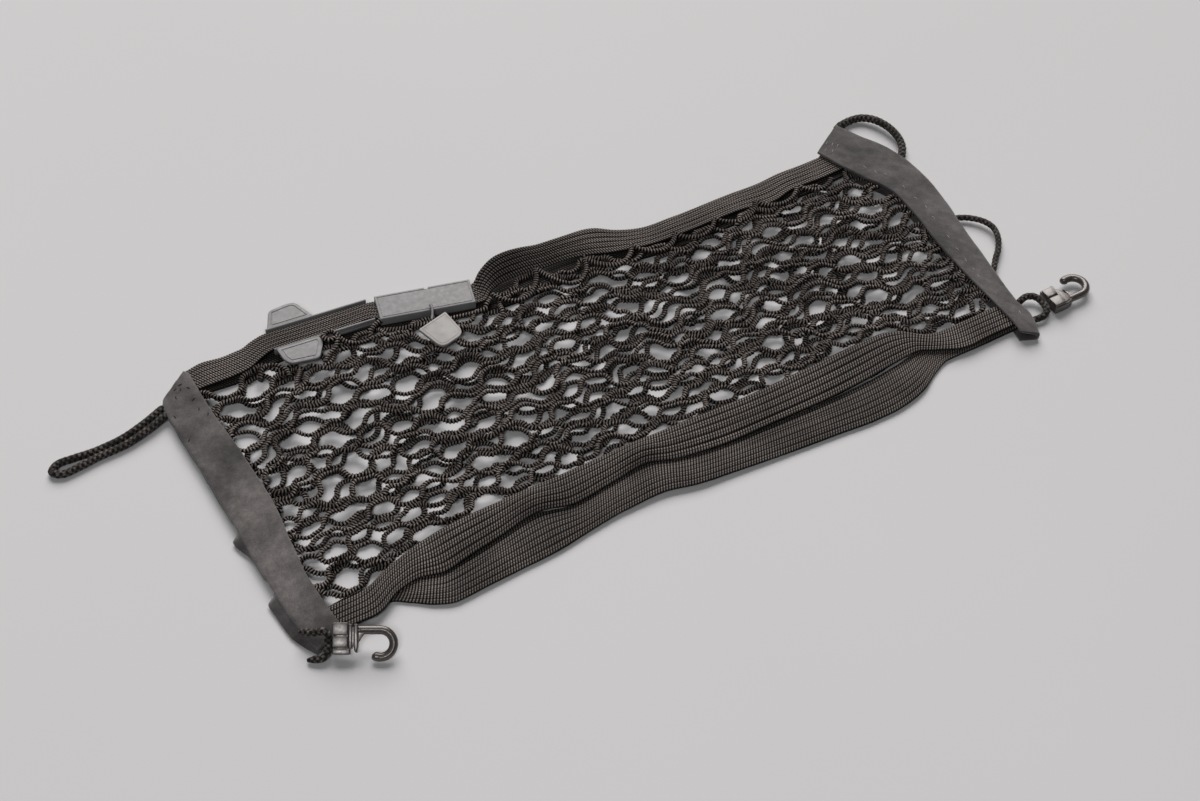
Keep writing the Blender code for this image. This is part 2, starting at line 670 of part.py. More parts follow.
def turned_place(middle, turn, along, across):
    """A place of the plan, from a part's own length and width directions."""
    x = middle[0] + along * math.cos(turn) - across * math.sin(turn)
    y = middle[1] + along * math.sin(turn) + across * math.cos(turn)
    return x, y


def clip_channel(look, parent, group, cutters):
    """The open trough under the webbing, with a wing on either side."""
    length, width = CHANNEL_SIZE
    low, top = CHANNEL_FLOOR_Z, CHANNEL_TOP_Z
    outer = width / 2
    inner = outer - CLIP_WALL
    profile = [(-outer, low), (outer, low), (outer, top), (inner, top),
               (inner, low + CLIP_WALL), (-inner, low + CLIP_WALL), (-inner, top), (-outer, top)]
    rings = []
    for along in (-length / 2, length / 2):
        rings.append([(*turned_place(CHANNEL_MIDDLE, CHANNEL_TURN, along, across), z)
                      for across, z in profile])
    trough = bpy.data.objects.new("clip_channel", loft("clip_channel", rings))
    group.objects.link(trough)
    # wings: along and across of each corner, from the trough's middle
    root = outer - WING_LAP
    far_wing = [(-30.4, root), (-25.0, 22.6), (-12.5, 24.2), (-8.0, 23.2), (-1.4, root)]
    near_wing = [(-30.5, -root), (-29.2, -18.0), (-26.5, -23.2), (-9.0, -25.4),
                 (-3.0, -14.0), (-4.0, -root)]
    for outline in (far_wing, near_wing):
        corners = [turned_place(CHANNEL_MIDDLE, CHANNEL_TURN, *corner) for corner in outline]
        wing = plate("wing", corners, top - WING_DROP - WING_THICK, top - WING_DROP, cutters)
        boolean(trough, wing, "UNION")
    trough.parent = parent
    trough.data.materials.clear()
    trough.data.materials.append(look)
    return trough


def clip_sleeve(look, parent, group, cutters):
    """The closed sleeve that the webbing runs through."""
    length, width = SLEEVE_SIZE
    low, high = SLEEVE_Z
    middle = (*SLEEVE_MIDDLE, (low + high) / 2)
    sleeve = box("clip_sleeve", (length, width, high - low), middle, group, bevel=0.5,
                 turn=SLEEVE_TURN)
    hollow_size = (length + 4.0, width - 2 * CLIP_WALL, high - low - 2 * CLIP_WALL)
    hollow = box("sleeve_hollow", hollow_size, middle, cutters, turn=SLEEVE_TURN)
    boolean(sleeve, hollow, "DIFFERENCE")
    sleeve.parent = parent
    sleeve.data.materials.clear()
    sleeve.data.materials.append(look)
    return sleeve


def lock_tab(look, parent, group):
    """The loose tab below the sleeve, with two rounded corners."""
    outline = [(-10.5, 9.0), (10.5, 9.0), (8.9, -6.4), (7.4, -9.2), (4.6, -10.4),
               (-5.4, -10.4), (-8.2, -9.0), (-9.4, -6.2)]
    tab = plate("clip_tab", outline, -TAB_THICK / 2, TAB_THICK / 2, group)
    tab.parent = parent
    turn = Matrix.Rotation(TAB_TURN, 4, "Z") @ Matrix.Rotation(TAB_TILT, 4, "X")
    tab.matrix_local = Matrix.Translation(Vector(TAB_MIDDLE) * MM) @ turn
    tab.data.materials.append(look)
    return tab


# ---------------------------------------------------------------- build

def edge_rows(rows, y_column, z_column, shift):
    """A layer's edge along a webbing: x, y and z of the yarn's middle line."""
    return [(row[0], row[y_column] + shift, row[z_column]) for row in rows]


def build():
    for item in list(bpy.data.objects):
        bpy.data.objects.remove(item)
    parts = collection("cargo_net")
    cutters = collection("cutters")
    origin = bpy.data.objects.new("origin", None)
    parts.objects.link(origin)
    origin.location = (-PLAN_CENTRE[0] * MM, -PLAN_CENTRE[1] * MM, 0.0)

    yarn = material("yarn", BLACK, 0.85)
    web = material("webbing", BLACK, 0.8)
    cloth = material("binding", GREY_CLOTH, 0.9)
    cord = material("cord", BLACK, 0.85)
    gloss = material("hook_plastic", (0.012, 0.012, 0.012), 0.3)
    plastic = material("clip_plastic", GREY_PLASTIC, 0.45)
    pale = material("tab_plastic", PALE_PLASTIC, 0.5)

    webbing("band_near_upper", NEAR_UPPER, WEB_RIBS, web, origin, parts)
    webbing("band_near_lower", NEAR_LOWER, WEB_RIBS + 3, web, origin, parts)
    webbing("band_far_upper", FAR_UPPER, WEB_RIBS, web, origin, parts)
    webbing("band_far_lower", FAR_LOWER, 3, web, origin, parts)
    binding("strip_left", STRIP_LEFT, 1, cloth, origin, parts)
    binding("strip_right", STRIP_RIGHT, -1, cloth, origin, parts)

    # the upper net stops at the clip's near side where the clip hides the webbing
    far_edge = [row for row in edge_rows(FAR_UPPER, 1, 2, -YARN_DROP)
                if row[0] < -170.0 or row[0] > -36.0]
    clip_edge = [(-166.0, 99.0, 4.4), (-104.0, 91.4, 4.6), (-97.0, 89.4, 4.6),
                 (-42.0, 73.6, 4.6)]
    upper = Layer(1, edge_rows(NEAR_UPPER, 1, 2, YARN_DROP), sorted(far_edge + clip_edge),
                  5.4, 0.4, 5.25, pressed=[(-148.0, 91.0, 26.0, 1.1)], bends=True)
    mesh_layer("net_upper", upper, yarn, origin, parts)
    lower = Layer(2, edge_rows(NEAR_LOWER, 1, 2, YARN_DROP),
                  edge_rows(FAR_LOWER, 1, 2, -YARN_DROP), 1.5, 0.2, 2.6)
    mesh_layer("net_lower", lower, yarn, origin, parts)

    tube("loop_left", LOOP_LEFT, CORD_DIAMETER, cord, origin, parts, CORD_STEP)
    tube("loop_right_far", LOOP_RIGHT_FAR, CORD_DIAMETER, cord, origin, parts, CORD_STEP)
    tube("loop_right_mid", LOOP_RIGHT_MID, CORD_DIAMETER, cord, origin, parts, CORD_STEP)
    tube("hook_cord_left", HOOK_CORD_LEFT, CORD_DIAMETER, cord, origin, parts,
         HOOK_CORD_STEP)
    tube("hook_cord_right", HOOK_CORD_RIGHT, CORD_DIAMETER, cord, origin, parts,
         HOOK_CORD_STEP)

    right_place = axes_matrix((1, 0, 0), (0, -1, 0), RIGHT_HOOK_PLACE)
    hook("hook_right", RIGHT_REACH, right_place, gloss, origin, parts, cutters)
    # the left hook's J rises from the surface, square to its shank
    along_x, along_y = LEFT_HOOK_AXIS
    lean = math.cos(LEFT_TILT)
    left_rise = (-along_y * lean, along_x * lean, math.sin(LEFT_TILT))
    left_place = axes_matrix((along_x, along_y, 0.0), left_rise, LEFT_HOOK_PLACE)
    hook("hook_left", LEFT_REACH, left_place, gloss, origin, parts, cutters)

    clip_channel(plastic, origin, parts, cutters)
    clip_sleeve(plastic, origin, parts, cutters)
    lock_tab(pale, origin, parts)
    tube("clip_wire", WIRE_ROUTE, WIRE_DIAMETER, plastic, origin, parts, WIRE_STEP)


build()
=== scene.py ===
"""The cargo net's looks: yarns, woven webbing, suede bindings, braided cords, moulded parts.

Plan coordinates are millimetres, as in the part's own source. world() turns them into the
frame's metres. The tables below follow the part's, so that every piece lies in its solid's
place.
"""

import dataclasses
import math

import bmesh
import bpy
import numpy as np
from mathutils import Matrix, Vector, kdtree

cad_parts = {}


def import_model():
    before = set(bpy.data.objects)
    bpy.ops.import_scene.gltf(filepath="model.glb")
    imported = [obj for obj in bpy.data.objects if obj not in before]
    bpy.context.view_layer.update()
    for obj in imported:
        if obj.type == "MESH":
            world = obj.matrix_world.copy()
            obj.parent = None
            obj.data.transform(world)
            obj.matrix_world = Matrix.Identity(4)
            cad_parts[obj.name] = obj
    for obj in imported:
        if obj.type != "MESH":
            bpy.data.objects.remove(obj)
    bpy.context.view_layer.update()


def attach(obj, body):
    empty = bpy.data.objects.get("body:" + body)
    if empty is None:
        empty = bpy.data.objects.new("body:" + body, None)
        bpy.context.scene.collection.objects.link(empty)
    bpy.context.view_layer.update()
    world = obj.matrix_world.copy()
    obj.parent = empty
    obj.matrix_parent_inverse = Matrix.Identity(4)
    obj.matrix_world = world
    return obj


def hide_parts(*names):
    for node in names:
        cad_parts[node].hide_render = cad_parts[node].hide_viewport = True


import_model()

MM = 0.001
PLAN_CENTRE = np.array([18.4, 3.57, 0.0])
TO_WORLD = Matrix.Translation(Vector(-PLAN_CENTRE * MM)) @ Matrix.Scale(MM, 4)
LAID_Z = 0.12  # lowest that a yarn or the webbing comes above the floor
CLOTH_Z = 0.02  # and lowest for the bindings
SPAN_STEPS = 12  # points to each span of a route, before they are evened out

# camera: worked out from the net's corners in the photograph
CAMERA_PLACE = (-526.7, -892.3, 1120.7)
CAMERA_TARGET = (-16.9, -21.5, 0.0)
LENS = 78.0
SENSOR = 36.0

# lights: place, size in metres, power and colour; both shine on the plan's origin
LIGHTS = {
    "window": ((2550.0, 5250.0, 5250.0), (6.6, 6.0), 750.0, (1.0, 0.985, 0.97)),
    "fill": ((-1410.0, -1530.0, 2400.0), (0.7, 0.7), 25.0, (0.97, 0.985, 1.0)),
}
SKY_COLOUR = (0.93, 0.935, 0.95, 1.0)
SKY_STRENGTH = 0.05
FLOOR_SIZE = 6.0

# mesh fabric: the real one is finer than the solid's
COLUMNS = 12  # joints from binding to binding
LEVELS = 17  # rows of joints from band to band
CELL = 36.6
JOINT = 6.0  # length of a joint, where two yarns run side by side
YARN_DROP = 2.8  # how far inside a band's inner edge the outermost yarn runs
NET_END_INSET = 2.4
JITTER = 3.0
DRIFT = 5.0  # slow sideways wander of the joints
CURL = 2.8  # how far a yarn curls off its way between two joints
WAVE_X = 23.0
WAVE_Y = 21.0
WAVE_SKEW = 60.0
EDGE_REACH = 14.0
END_REACH = 16.0

# braided yarn of the mesh
YARN_WIDE = 3.7
YARN_THICK = 2.9
YARN_PITCH = 1.85  # from one ridge of the braid to the next
YARN_SIDES = 8
PAIR_OFFSET = 1.8  # half the distance of two yarns that share a joint
SLANT = 0.25  # how far the ridges lean
GROOVE = 0.42  # share of the radius that a groove takes

# settling of the yarns
BEAD = 3.4  # length of yarn between two points
TOUCH = 3.3  # nearest that the middle lines of two yarns come
PAIR_REACH = 2.4 * TOUCH  # how near two points count as neighbours
RECOUNT = 12  # steps between two counts of the neighbours
SETTLE_STEPS = 120
BAND_GAP = 0.3  # nearest that a yarn's middle line comes to the layer's long edges
YARN_Z = YARN_THICK / 2 + 0.1  # lowest for a yarn's middle line
# share of the way that points move in one step: to their tied partner, off a yarn that
# they touch, to their place of the lattice, and to their layer's height
TIE_PULL = 0.8
TOUCH_PULL = 0.5
HOME_PULL = 0.05
LEVEL_PULL = 0.08
LOFT_ABOVE = 1.6  # a yarn may rise so many times as far over its level as under it
# how yarn resists bending: over how many points, how straight they keep, how firmly
STIFFNESS = [(2, 0.975, 0.5), (4, 0.92, 0.4), (6, 0.84, 0.3)]

# webbing
WEB_THICK = 1.6
WEB_SAMPLES = 2000
RIB_HEIGHT = 0.5
TOOTH = 1.7  # pitch of the weft ridges
EDGE_TOOTH = 0.35

# binding
LEAF = 1.2
MOUTH_Z = 7.5
LEAF_CROWN = 0.2
FLAT_SHARE = 0.62
FOLD_BACK = 1.2
STRIP_SECTIONS = 170
LEAF_POINTS = 26
CLOSING = 16.0  # length over which the fold closes up at the near end

# cord
CORD_DIAMETER = 4.4
CORD_PITCH = 3.2
CORD_PLAITS = 3  # floats of the braid side by side round the cord
CORD_SIDES = 18
TUCKED = 4.0  # length of cord inside the binding at each end
PATH_STEP = 3.0

# moulded parts
FLAT_FACE = 4e-6  # square metres from which a face is shaded flat
SLENDER = 0.03  # a face of less area than this share of its length squared stays smooth
SHARP_EDGE = math.radians(35.0)
CORNER_STEPS = 5
RIM_STEPS = 4
GROOVE_SLOPE = 0.12

# hooks, in their own length (x), side (y) and thickness (z) directions
HOOK_RADIUS = 7.2
HOOK_WIRE = 4.8
SHANK_SIDE = 4.6  # how far the shank lies from the hook's middle line
HOOK_ARC = 216.0  # degrees of a circle that the J goes round
HOOK_ARC_STEP = 12.0
GUSSET_START = 9.2
GUSSET_LENGTH = 6.4
GUSSET_DROP = 6.6  # how much wider the gusset is at its start
TIP_SHARE = 0.86  # where along the J its tip begins to thicken
TIP_SWELL = 0.07
RIDGE_Z = 2.0
RIDGE_OUT = 0.3
LEFT_REACH = 21.0
RIGHT_REACH = 17.3
LEFT_TILT = math.radians(37.0)
LEFT_HOOK_PLACE = (-226.0, -106.0, 9.2)
LEFT_HOOK_AXIS = (0.863, -0.505)
RIGHT_HOOK_PLACE = (256.2, -91.9, 4.5)
# the bodies' blocks: size, middle, radius of the edges and its steps
SLIDER_BLOCKS = [
    ((7.4, 7.3, 3.0), (-0.2, 4.0, -2.0), 0.6, 3), ((7.4, 6.6, 3.0), (-0.2, -3.8, -2.0), 0.6, 3),
    ((1.5, 15.0, 2.9), (3.4, 0.0, -1.9), 0.4, 3), ((2.0, 16.4, 2.0), (-3.2, 0.0, 2.3), 0.6, 3),
]
SLIDER_LINE = [(-4.2, 8.3), (5.2, 8.3), (9.6, 6.9), (9.6, 2.4), (7.0, -4.2), (2.0, -8.3),
               (-4.2, -8.3)]
SLIDER_CORNERS = [1.2, 2.5, 1.6, 2.0, 5.0, 3.5, 1.2]
SLIT_BLOCKS = [
    ((7.2, 15.6, 5.6), (0.1, 0.0, 0.0), 0.8, 3), ((8.3, 6.7, 7.0), (-0.1, 5.15, 0.0), 0.6, 4),
    ((8.3, 5.9, 7.0), (-0.1, -1.75, 0.0), 0.6, 4), ((9.6, 3.2, 6.8), (0.5, -6.9, 0.0), 0.7, 4),
    ((1.3, 15.4, 6.4), (3.6, 0.3, 0.0), 0.5, 3), ((1.9, 13.2, 6.4), (5.3, 1.1, 0.0), 0.45, 3),
    ((3.0, 10.4, 4.4), (6.6, 0.9, 0.0), 0.3, 3),
]
SLIT_FLANGE = [(7.1, 8.1), (9.6, 7.6), (9.6, -3.6), (8.9, -7.7), (7.5, -7.0), (7.0, -3.0)]

# clip
CLIP_WALL = 1.2
# where the clip holds the webbing, the mesh below it ends on this line: x, y and z
CLIP_EDGE = [(-166.0, 99.0, 4.4), (-104.0, 91.4, 4.6), (-97.0, 89.4, 4.6), (-42.0, 73.6, 4.6)]
CLIP_REACH = (-170.0, -36.0)  # x of the stretch of webbing that the clip holds
CLIP_PRESS = (-148.0, 91.0, 26.0, 1.1)  # x, y, radius and depth of the dent under it
CHANNEL_MIDDLE = (-132.5, 108.5)
CHANNEL_TURN = math.radians(-6.9)
CHANNEL_SIZE = (63.0, 18.0)
CHANNEL_Z = (3.0, 8.0)
WING_Z = (5.9, 7.8)
FAR_WING = [(-30.4, 8.3), (-25.0, 22.6), (-12.5, 24.2), (-8.0, 23.2), (-1.4, 8.3)]
NEAR_WING = [(-30.5, -8.3), (-29.2, -18.0), (-26.5, -23.2), (-9.0, -25.4), (-3.0, -14.0),
             (-4.0, -8.3)]
SLEEVE_MIDDLE = (-69.8, 94.9)
SLEEVE_TURN = math.radians(-15.9)
SLEEVE_SIZE = (58.2, 19.6)
SLEEVE_Z = (2.9, 8.6)
NOTCH_SIZE = (2.6, 1.6, 4.0)
TAB_MIDDLE = (-73.2, 66.6, 9.0)
TAB_TURN = math.radians(13.7)
TAB_TILT = math.radians(6.0)
TAB_THICK = 2.0
TAB_OUTLINE = [(-10.5, 9.0), (10.5, 9.0), (8.9, -6.4), (7.4, -9.2), (4.6, -10.4),
               (-5.4, -10.4), (-8.2, -9.0), (-9.4, -6.2)]
WIRE_ROUTE = [(-70.0, 87.6, 9.1), (-70.0, 87.3, 10.3), (-70.3, 85.4, 11.0),
              (-71.2, 82.4, 10.8), (-73.2, 78.8, 10.2), (-75.0, 76.3, 10.1)]
WIRE_DIAMETER = 1.6

# one row a station along the band: x, inner edge y and z, crown, outer edge y and z
NEAR_UPPER = [
    (-224, -81, 4.9, 0, -98, 4.9), (-212, -81, 4.9, 0.3, -98.2, 4.8),
    (-198, -80, 5.1, 0.8, -97.6, 4.6), (-185, -75.5, 6.5, 1.5, -90.5, 4.6),
    (-170, -71.5, 8, 2, -87.5, 4.8), (-155, -68.5, 9, 2, -91, 4.8),
    (-138, -66.5, 9.5, 1.5, -88, 4.8), (-118, -66, 9.5, 1.8, -84.5, 4.8),
    (-92, -66, 9.3, 3, -80, 5.2), (-70, -66, 9, 2, -85, 4.8), (-48, -66, 9, 2, -82.5, 4.8),
    (-22, -66, 9, 3, -79.6, 5.2), (-5, -66.5, 9, 2, -85, 4.8), (22, -67.5, 9.5, 1, -89.5, 4.8),
    (58, -69, 9.5, 0.5, -90.5, 4.8), (92, -68, 9.5, 0.5, -91, 4.8),
    (122, -67, 9.5, 1, -89.5, 4.8), (145, -66.5, 9, 1.5, -87, 4.8), (160, -70.5, 8, 1.5, -86, 5),
    (172, -78.5, 6.2, 1, -91, 5), (185, -80, 5.2, 0.5, -97, 4.9), (205, -80, 5, 0.3, -97.5, 4.9),
    (225, -79.5, 4.9, 0, -97.5, 4.9),
]
NEAR_LOWER = [
    (-224, -79, 2.4, 0, -97, 2.4), (-205, -77.5, 2.2, 0.2, -94.5, 1.8),
    (-190, -79, 1.9, 0.4, -92, 1.5), (-180, -82, 1.7, 0.9, -98, 1.2),
    (-170, -83.6, 1.4, 1.8, -105.5, 1.6), (-157, -88, 1.3, 2.3, -110.5, 1.9),
    (-138, -86.3, 1.3, 2.4, -109.5, 2), (-118, -82.6, 1.3, 2.4, -108.5, 1.8),
    (-92, -78.2, 1.3, 2.6, -107.3, 1.8), (-70, -83.2, 1.3, 2.2, -104, 1.9),
    (-45, -80.4, 1.3, 2.3, -101.5, 2.3), (-20, -77.8, 1.3, 2.6, -101.8, 3),
    (-3, -83.5, 1.3, 2.2, -106, 3), (22, -87.8, 1.3, 2, -108.7, 2.4),
    (55, -88.7, 1.3, 2, -111.8, 1.8), (90, -89.7, 1.3, 2, -114.6, 1.7),
    (112, -89.4, 1.3, 2, -116.4, 1.7), (132, -88.4, 1.3, 2.1, -115.6, 1.9),
    (150, -86.2, 1.3, 2, -110.6, 2.1), (163, -83.5, 1.5, 1.2, -103, 1.3),
    (176, -81, 1.9, 0.4, -98.4, 1.8), (202, -80, 2.1, 0.2, -99, 2.1),
    (225, -79.5, 2.4, 0, -99, 2.4),
]
FAR_UPPER = [
    (-219, 99.5, 4.9, 0, 115.8, 4.9), (-206, 99.3, 4.9, 0.4, 117.6, 4.9),
    (-194, 98.5, 5.3, 0.5, 115.3, 5.3), (-182, 99.5, 5.6, 0.5, 115.2, 5.6),
    (-174, 102.8, 5.7, 0.3, 117.6, 5.7), (-165.5, 105.3, 5.6, 0.2, 119.4, 5.6),
    (-148, 103.4, 5.5, 0.2, 117.4, 5.6), (-132, 101.3, 5.5, 0.2, 115.6, 5.6),
    (-116, 99.5, 5.5, 0.2, 113.6, 5.6), (-100.5, 97.4, 5.5, 0.2, 111.6, 5.6),
    (-97.5, 94.6, 5.6, 0, 111, 5.6), (-85, 91.2, 5.6, 0, 107, 5.6), (-70, 86.9, 5.6, 0, 103, 5.6),
    (-55, 82.7, 5.6, 0, 98.4, 5.6), (-38.6, 77.8, 5.6, 0, 94, 5.6), (-33, 82.5, 5, 0.5, 95.8, 11),
    (-26, 87, 3.8, 1, 97.4, 15.5), (-15, 88.5, 3.8, 1.5, 98.4, 17), (-4, 88, 3.8, 1.5, 98, 15.8),
    (8, 86, 4, 1.5, 96.6, 13.8), (22, 84.5, 4.5, 1.2, 97, 11.8), (37, 80, 5, 0.8, 97.3, 10),
    (47, 75.5, 5.3, 0.5, 95.5, 9), (58, 71.9, 5.8, 0.4, 89.2, 7.4), (72, 68.3, 6.2, 0.3, 84.3, 6),
    (95, 66.5, 6.5, 0.3, 83, 5.2), (138, 65.5, 6.5, 0.4, 82.5, 5), (156, 62, 6.5, 0.8, 81.6, 5),
    (174, 65.6, 6.2, 0.6, 82.8, 5), (192, 65.5, 5.6, 0.4, 82.2, 5),
    (213, 66.5, 4.9, 0, 82.6, 4.9),
]
FAR_LOWER = [
    (-219, 97.5, 2.4, 0, 114, 2.4), (-190, 96, 1.1, 0, 113, 1.1), (-165, 99, 1.1, 0, 116, 1.1),
    (-105, 92, 1.1, 0, 109, 1.1), (-45, 75, 1.1, 0, 92, 1.1), (-20, 71, 1.1, 0, 92, 1.1),
    (10, 71, 1.1, 0, 92, 1.1), (40, 70, 1.1, 0, 89, 1.1), (70, 64, 1.1, 0, 82, 1.1),
    (150, 62, 1.1, 0, 80, 1.1), (190, 62, 1.1, 0, 79.5, 1.1), (201, 62.5, 2.4, 0, 80, 2.4),
    (213, 63, 2.4, 0, 80, 2.4),
]

# one row a section across a binding: mouth x and y, fold x and y, the top leaf's height at
# the fold, the under leaf's height there and how far that leaf peeks out
STRIP_LEFT = [
    (-218.2, 114.6, -237, 102.2, 5, 1.6, 0), (-215.9, 111.5, -238.6, 99, 5.1, 1.7, 0),
    (-216.3, 103, -239.5, 93, 5.4, 2, 0), (-216.8, 78, -240, 74, 5.8, 2.4, 0),
    (-215.4, 40, -240.3, 38, 5.8, 2.4, 0), (-215.4, 4, -241, 3, 5.8, 2.2, 0),
    (-216.2, -7, -241.3, -8, 5.7, 2, 0.4), (-216.6, -11, -241.6, -12, 5.6, 1.8, 4.5),
    (-218.6, -24, -242, -25, 5.6, 1.8, 1), (-220.6, -42, -242.4, -44, 5.6, 2, 0),
    (-222.2, -55, -242.4, -57, 5.3, 1.7, 0.3), (-222.3, -58.5, -242.4, -60.5, 5.2, 1.6, 5.4),
    (-222.2, -80, -241.5, -85, 4.8, 1.2, 5.4), (-221.2, -99.5, -238.8, -103.5, 4.6, 1, 0.5),
]
STRIP_RIGHT = [
    (204, 84.6, 230.7, 103, 4.6, 1, 0), (209.8, 68, 237.7, 88, 4.6, 1, 0),
    (216.8, 50, 247.2, 68, 4.8, 1, 0), (223, 37, 251.2, 51, 4.8, 1, 0),
    (225.4, 24, 252.3, 34, 4.8, 1, 0), (224.8, 4, 250, 8, 4.6, 1, 0),
    (222.8, -16, 246.3, -14, 4.6, 1, 0), (221.8, -52, 240.9, -52, 4.6, 1, 0),
    (222.4, -80, 237, -80, 4.6, 1, 0), (222.2, -101, 235.6, -102, 5, 1.2, 0),
    (221.4, -106, 232, -111, 5, 1.2, 0),
]

# loose yarns by the clip: x, y and z of the middle line
EDGE_YARNS = [
    [(-95.3, 96.4, 6), (-100.5, 93.8, 6.8), (-106.8, 90.5, 7.2), (-110.6, 85.8, 6.6),
     (-109.7, 81.2, 6), (-104.9, 75.1, 5.6)],
    [(-126.4, 88.4, 6.6), (-128.1, 93.8, 8.6), (-130.7, 98.4, 9.8), (-135.7, 97.6, 9.8),
     (-134.6, 92.5, 9.8), (-129.2, 92.9, 9.2), (-132.7, 87.3, 7.6), (-137.9, 85.1, 6.4),
     (-142.5, 81.3, 5.6)],
    [(-129, 97, 8.8), (-127.2, 91.8, 7.4), (-122.9, 86.2, 6.8), (-116.4, 83.5, 6.6),
     (-110.4, 83.6, 6.8), (-102.1, 82.9, 6.4)],
    [(-157.3, 84.9, 4.4), (-160.6, 79.8, 5.6), (-165, 73.4, 6.4), (-166.6, 66.2, 5.6)],
    [(-101.2, 87.3, 5.2), (-93, 82.6, 6), (-84.7, 80.4, 6.4), (-76.4, 78.1, 6.4), (-68, 76, 6.2),
     (-58.7, 74.2, 6), (-49.8, 72.2, 6), (-39.7, 71.2, 6.2)],
    [(-182, 87.6, 5.2), (-178.3, 93.2, 6.6), (-173.4, 94.6, 6.8), (-168.2, 92, 6.4),
     (-165.3, 86.5, 5.4), (-165.5, 81.9, 5)],
]

# where the last yarn is held under the far band: x, y and how far it hangs to the next
SCALLOPS = [
    (-33, 78, 15), (0, 85, 19), (30, 77.5, 12), (60, 72, 10), (88, 67.5, 9), (116, 66.5, 9),
    (146, 66, 9), (176, 65.5, 9), (201, 64.5, 0),
]
SCALLOP_Z = 8.2

# stitches of the right binding: x, y and the direction in degrees
RIGHT_STITCHES = [
    (222.5, 59, 95), (225.8, 51.7, 80), (230, 46.7, 110), (233.3, 31.7, 85), (234, 20, 100),
    (235, 10, 75), (233.3, 0, 100), (231.7, -18.3, 85), (230, -30, 105), (229, -40, 80),
    (228.3, -49, 95), (227.5, -55, 85), (212, 92, 40), (214.5, 89.5, 35), (217, 87, 42),
    (219.5, 84.6, 38), (210, 84, 30), (213, 81, 45), (231.4, -91.7, 70),
]
# dark tack stitches of the left binding
LEFT_STITCHES = [
    (-227.9, 104.6, 20), (-225.2, 103, 60), (-222.4, 83.4, 70), (-236.9, 65.3, 50),
    (-224, 106.2, 0), (-221, 101.5, 120), (-230.2, 98.6, 80), (-221.8, 92, 15), (-236.6, 86, 95),
    (-219.6, 77, 60),
]

# furrows of the webbing: x start and end, share across at each, depth, width as a share
NEAR_UPPER_CREASES = [
    (-150, -60, 0.42, 0.36, 0.5, 0.035), (-40, 60, 0.62, 0.56, 0.6, 0.03),
    (-20, 120, 0.84, 0.8, 0.6, 0.03), (60, 150, 0.38, 0.42, 0.45, 0.03),
]
NEAR_LOWER_CREASES = [
    (-182, -112, 0.52, 0.36, 0.9, 0.03), (-60, 10, 0.42, 0.32, 0.6, 0.03),
    (-12, 132, 0.44, 0.34, 0.9, 0.028), (40, 120, 0.66, 0.62, 0.5, 0.03),
]
FAR_UPPER_CREASES = [
    (-150, -104, 0.5, 0.5, 0.4, 0.03), (-8, 62, 0.42, 0.58, 0.6, 0.035),
    (60, 190, 0.4, 0.4, 0.5, 0.03), (10, 58, 0.7, 0.8, 0.5, 0.03),
]

# the routes of the free cords: x, y and z of the middle line
LOOP_LEFT = [
    (-240.6, 96.9, 4.2), (-253.8, 92.4, 3.4), (-269.2, 88.9, 2.6), (-286.2, 88.2, 2.4),
    (-298.0, 89.4, 2.4), (-307.6, 89.8, 2.4), (-312.6, 85.8, 2.4), (-308.0, 81.6, 2.4),
    (-298.0, 81.8, 2.4), (-285.4, 83.2, 2.4), (-268.4, 83.8, 2.6), (-252.8, 87.2, 3.4),
    (-240.9, 91.2, 4.0),
]
LOOP_RIGHT_FAR = [
    (233.0, 102.4, 3.2), (241.0, 103.4, 3.0), (248.5, 101.8, 3.4), (254.5, 95.6, 4.2),
    (258.0, 86.0, 4.6), (258.8, 76.0, 4.2), (256.6, 66.6, 3.4), (251.4, 59.6, 2.6),
]
LOOP_RIGHT_MID = [
    (249.2, -4.4, 3.0), (255.0, -8.3, 3.2), (260.0, -14.8, 3.8), (262.2, -22.6, 4.0),
    (260.0, -31.0, 3.8), (254.6, -39.0, 3.2), (248.2, -45.0, 2.8), (243.2, -50.4, 2.6),
]
HOOK_CORD_LEFT = [
    (-240.0, -92.0, 8.3), (-236.4, -95.6, 9.6), (-232.4, -98.6, 11.6), (-231.2, -101.0, 11.0),
    (-232.4, -103.4, 8.2), (-234.6, -106.8, 5.4), (-238.6, -108.6, 3.4), (-242.4, -106.6, 2.6),
]
HOOK_CORD_RIGHT = [
    (237.6, -82.6, 3.4), (243.5, -81.6, 4.2), (248.0, -84.4, 4.6), (249.2, -90.5, 4.6),
    (248.0, -96.4, 4.2), (243.5, -99.2, 3.4), (236.7, -98.6, 3.0),
]


# --- helpers

def world(place):
    """A place of the plan, in millimetres, as metres of the frame."""
    return (np.asarray(place, dtype=float) - PLAN_CENTRE) * MM


def add_object(name, data):
    thing = bpy.data.objects.new(name, data)
    bpy.context.scene.collection.objects.link(thing)
    return thing


def mesh_of(shape, name):
    """A new mesh from a bmesh, which is freed."""
    mesh = bpy.data.meshes.new(name)
    shape.to_mesh(mesh)
    shape.free()
    return mesh


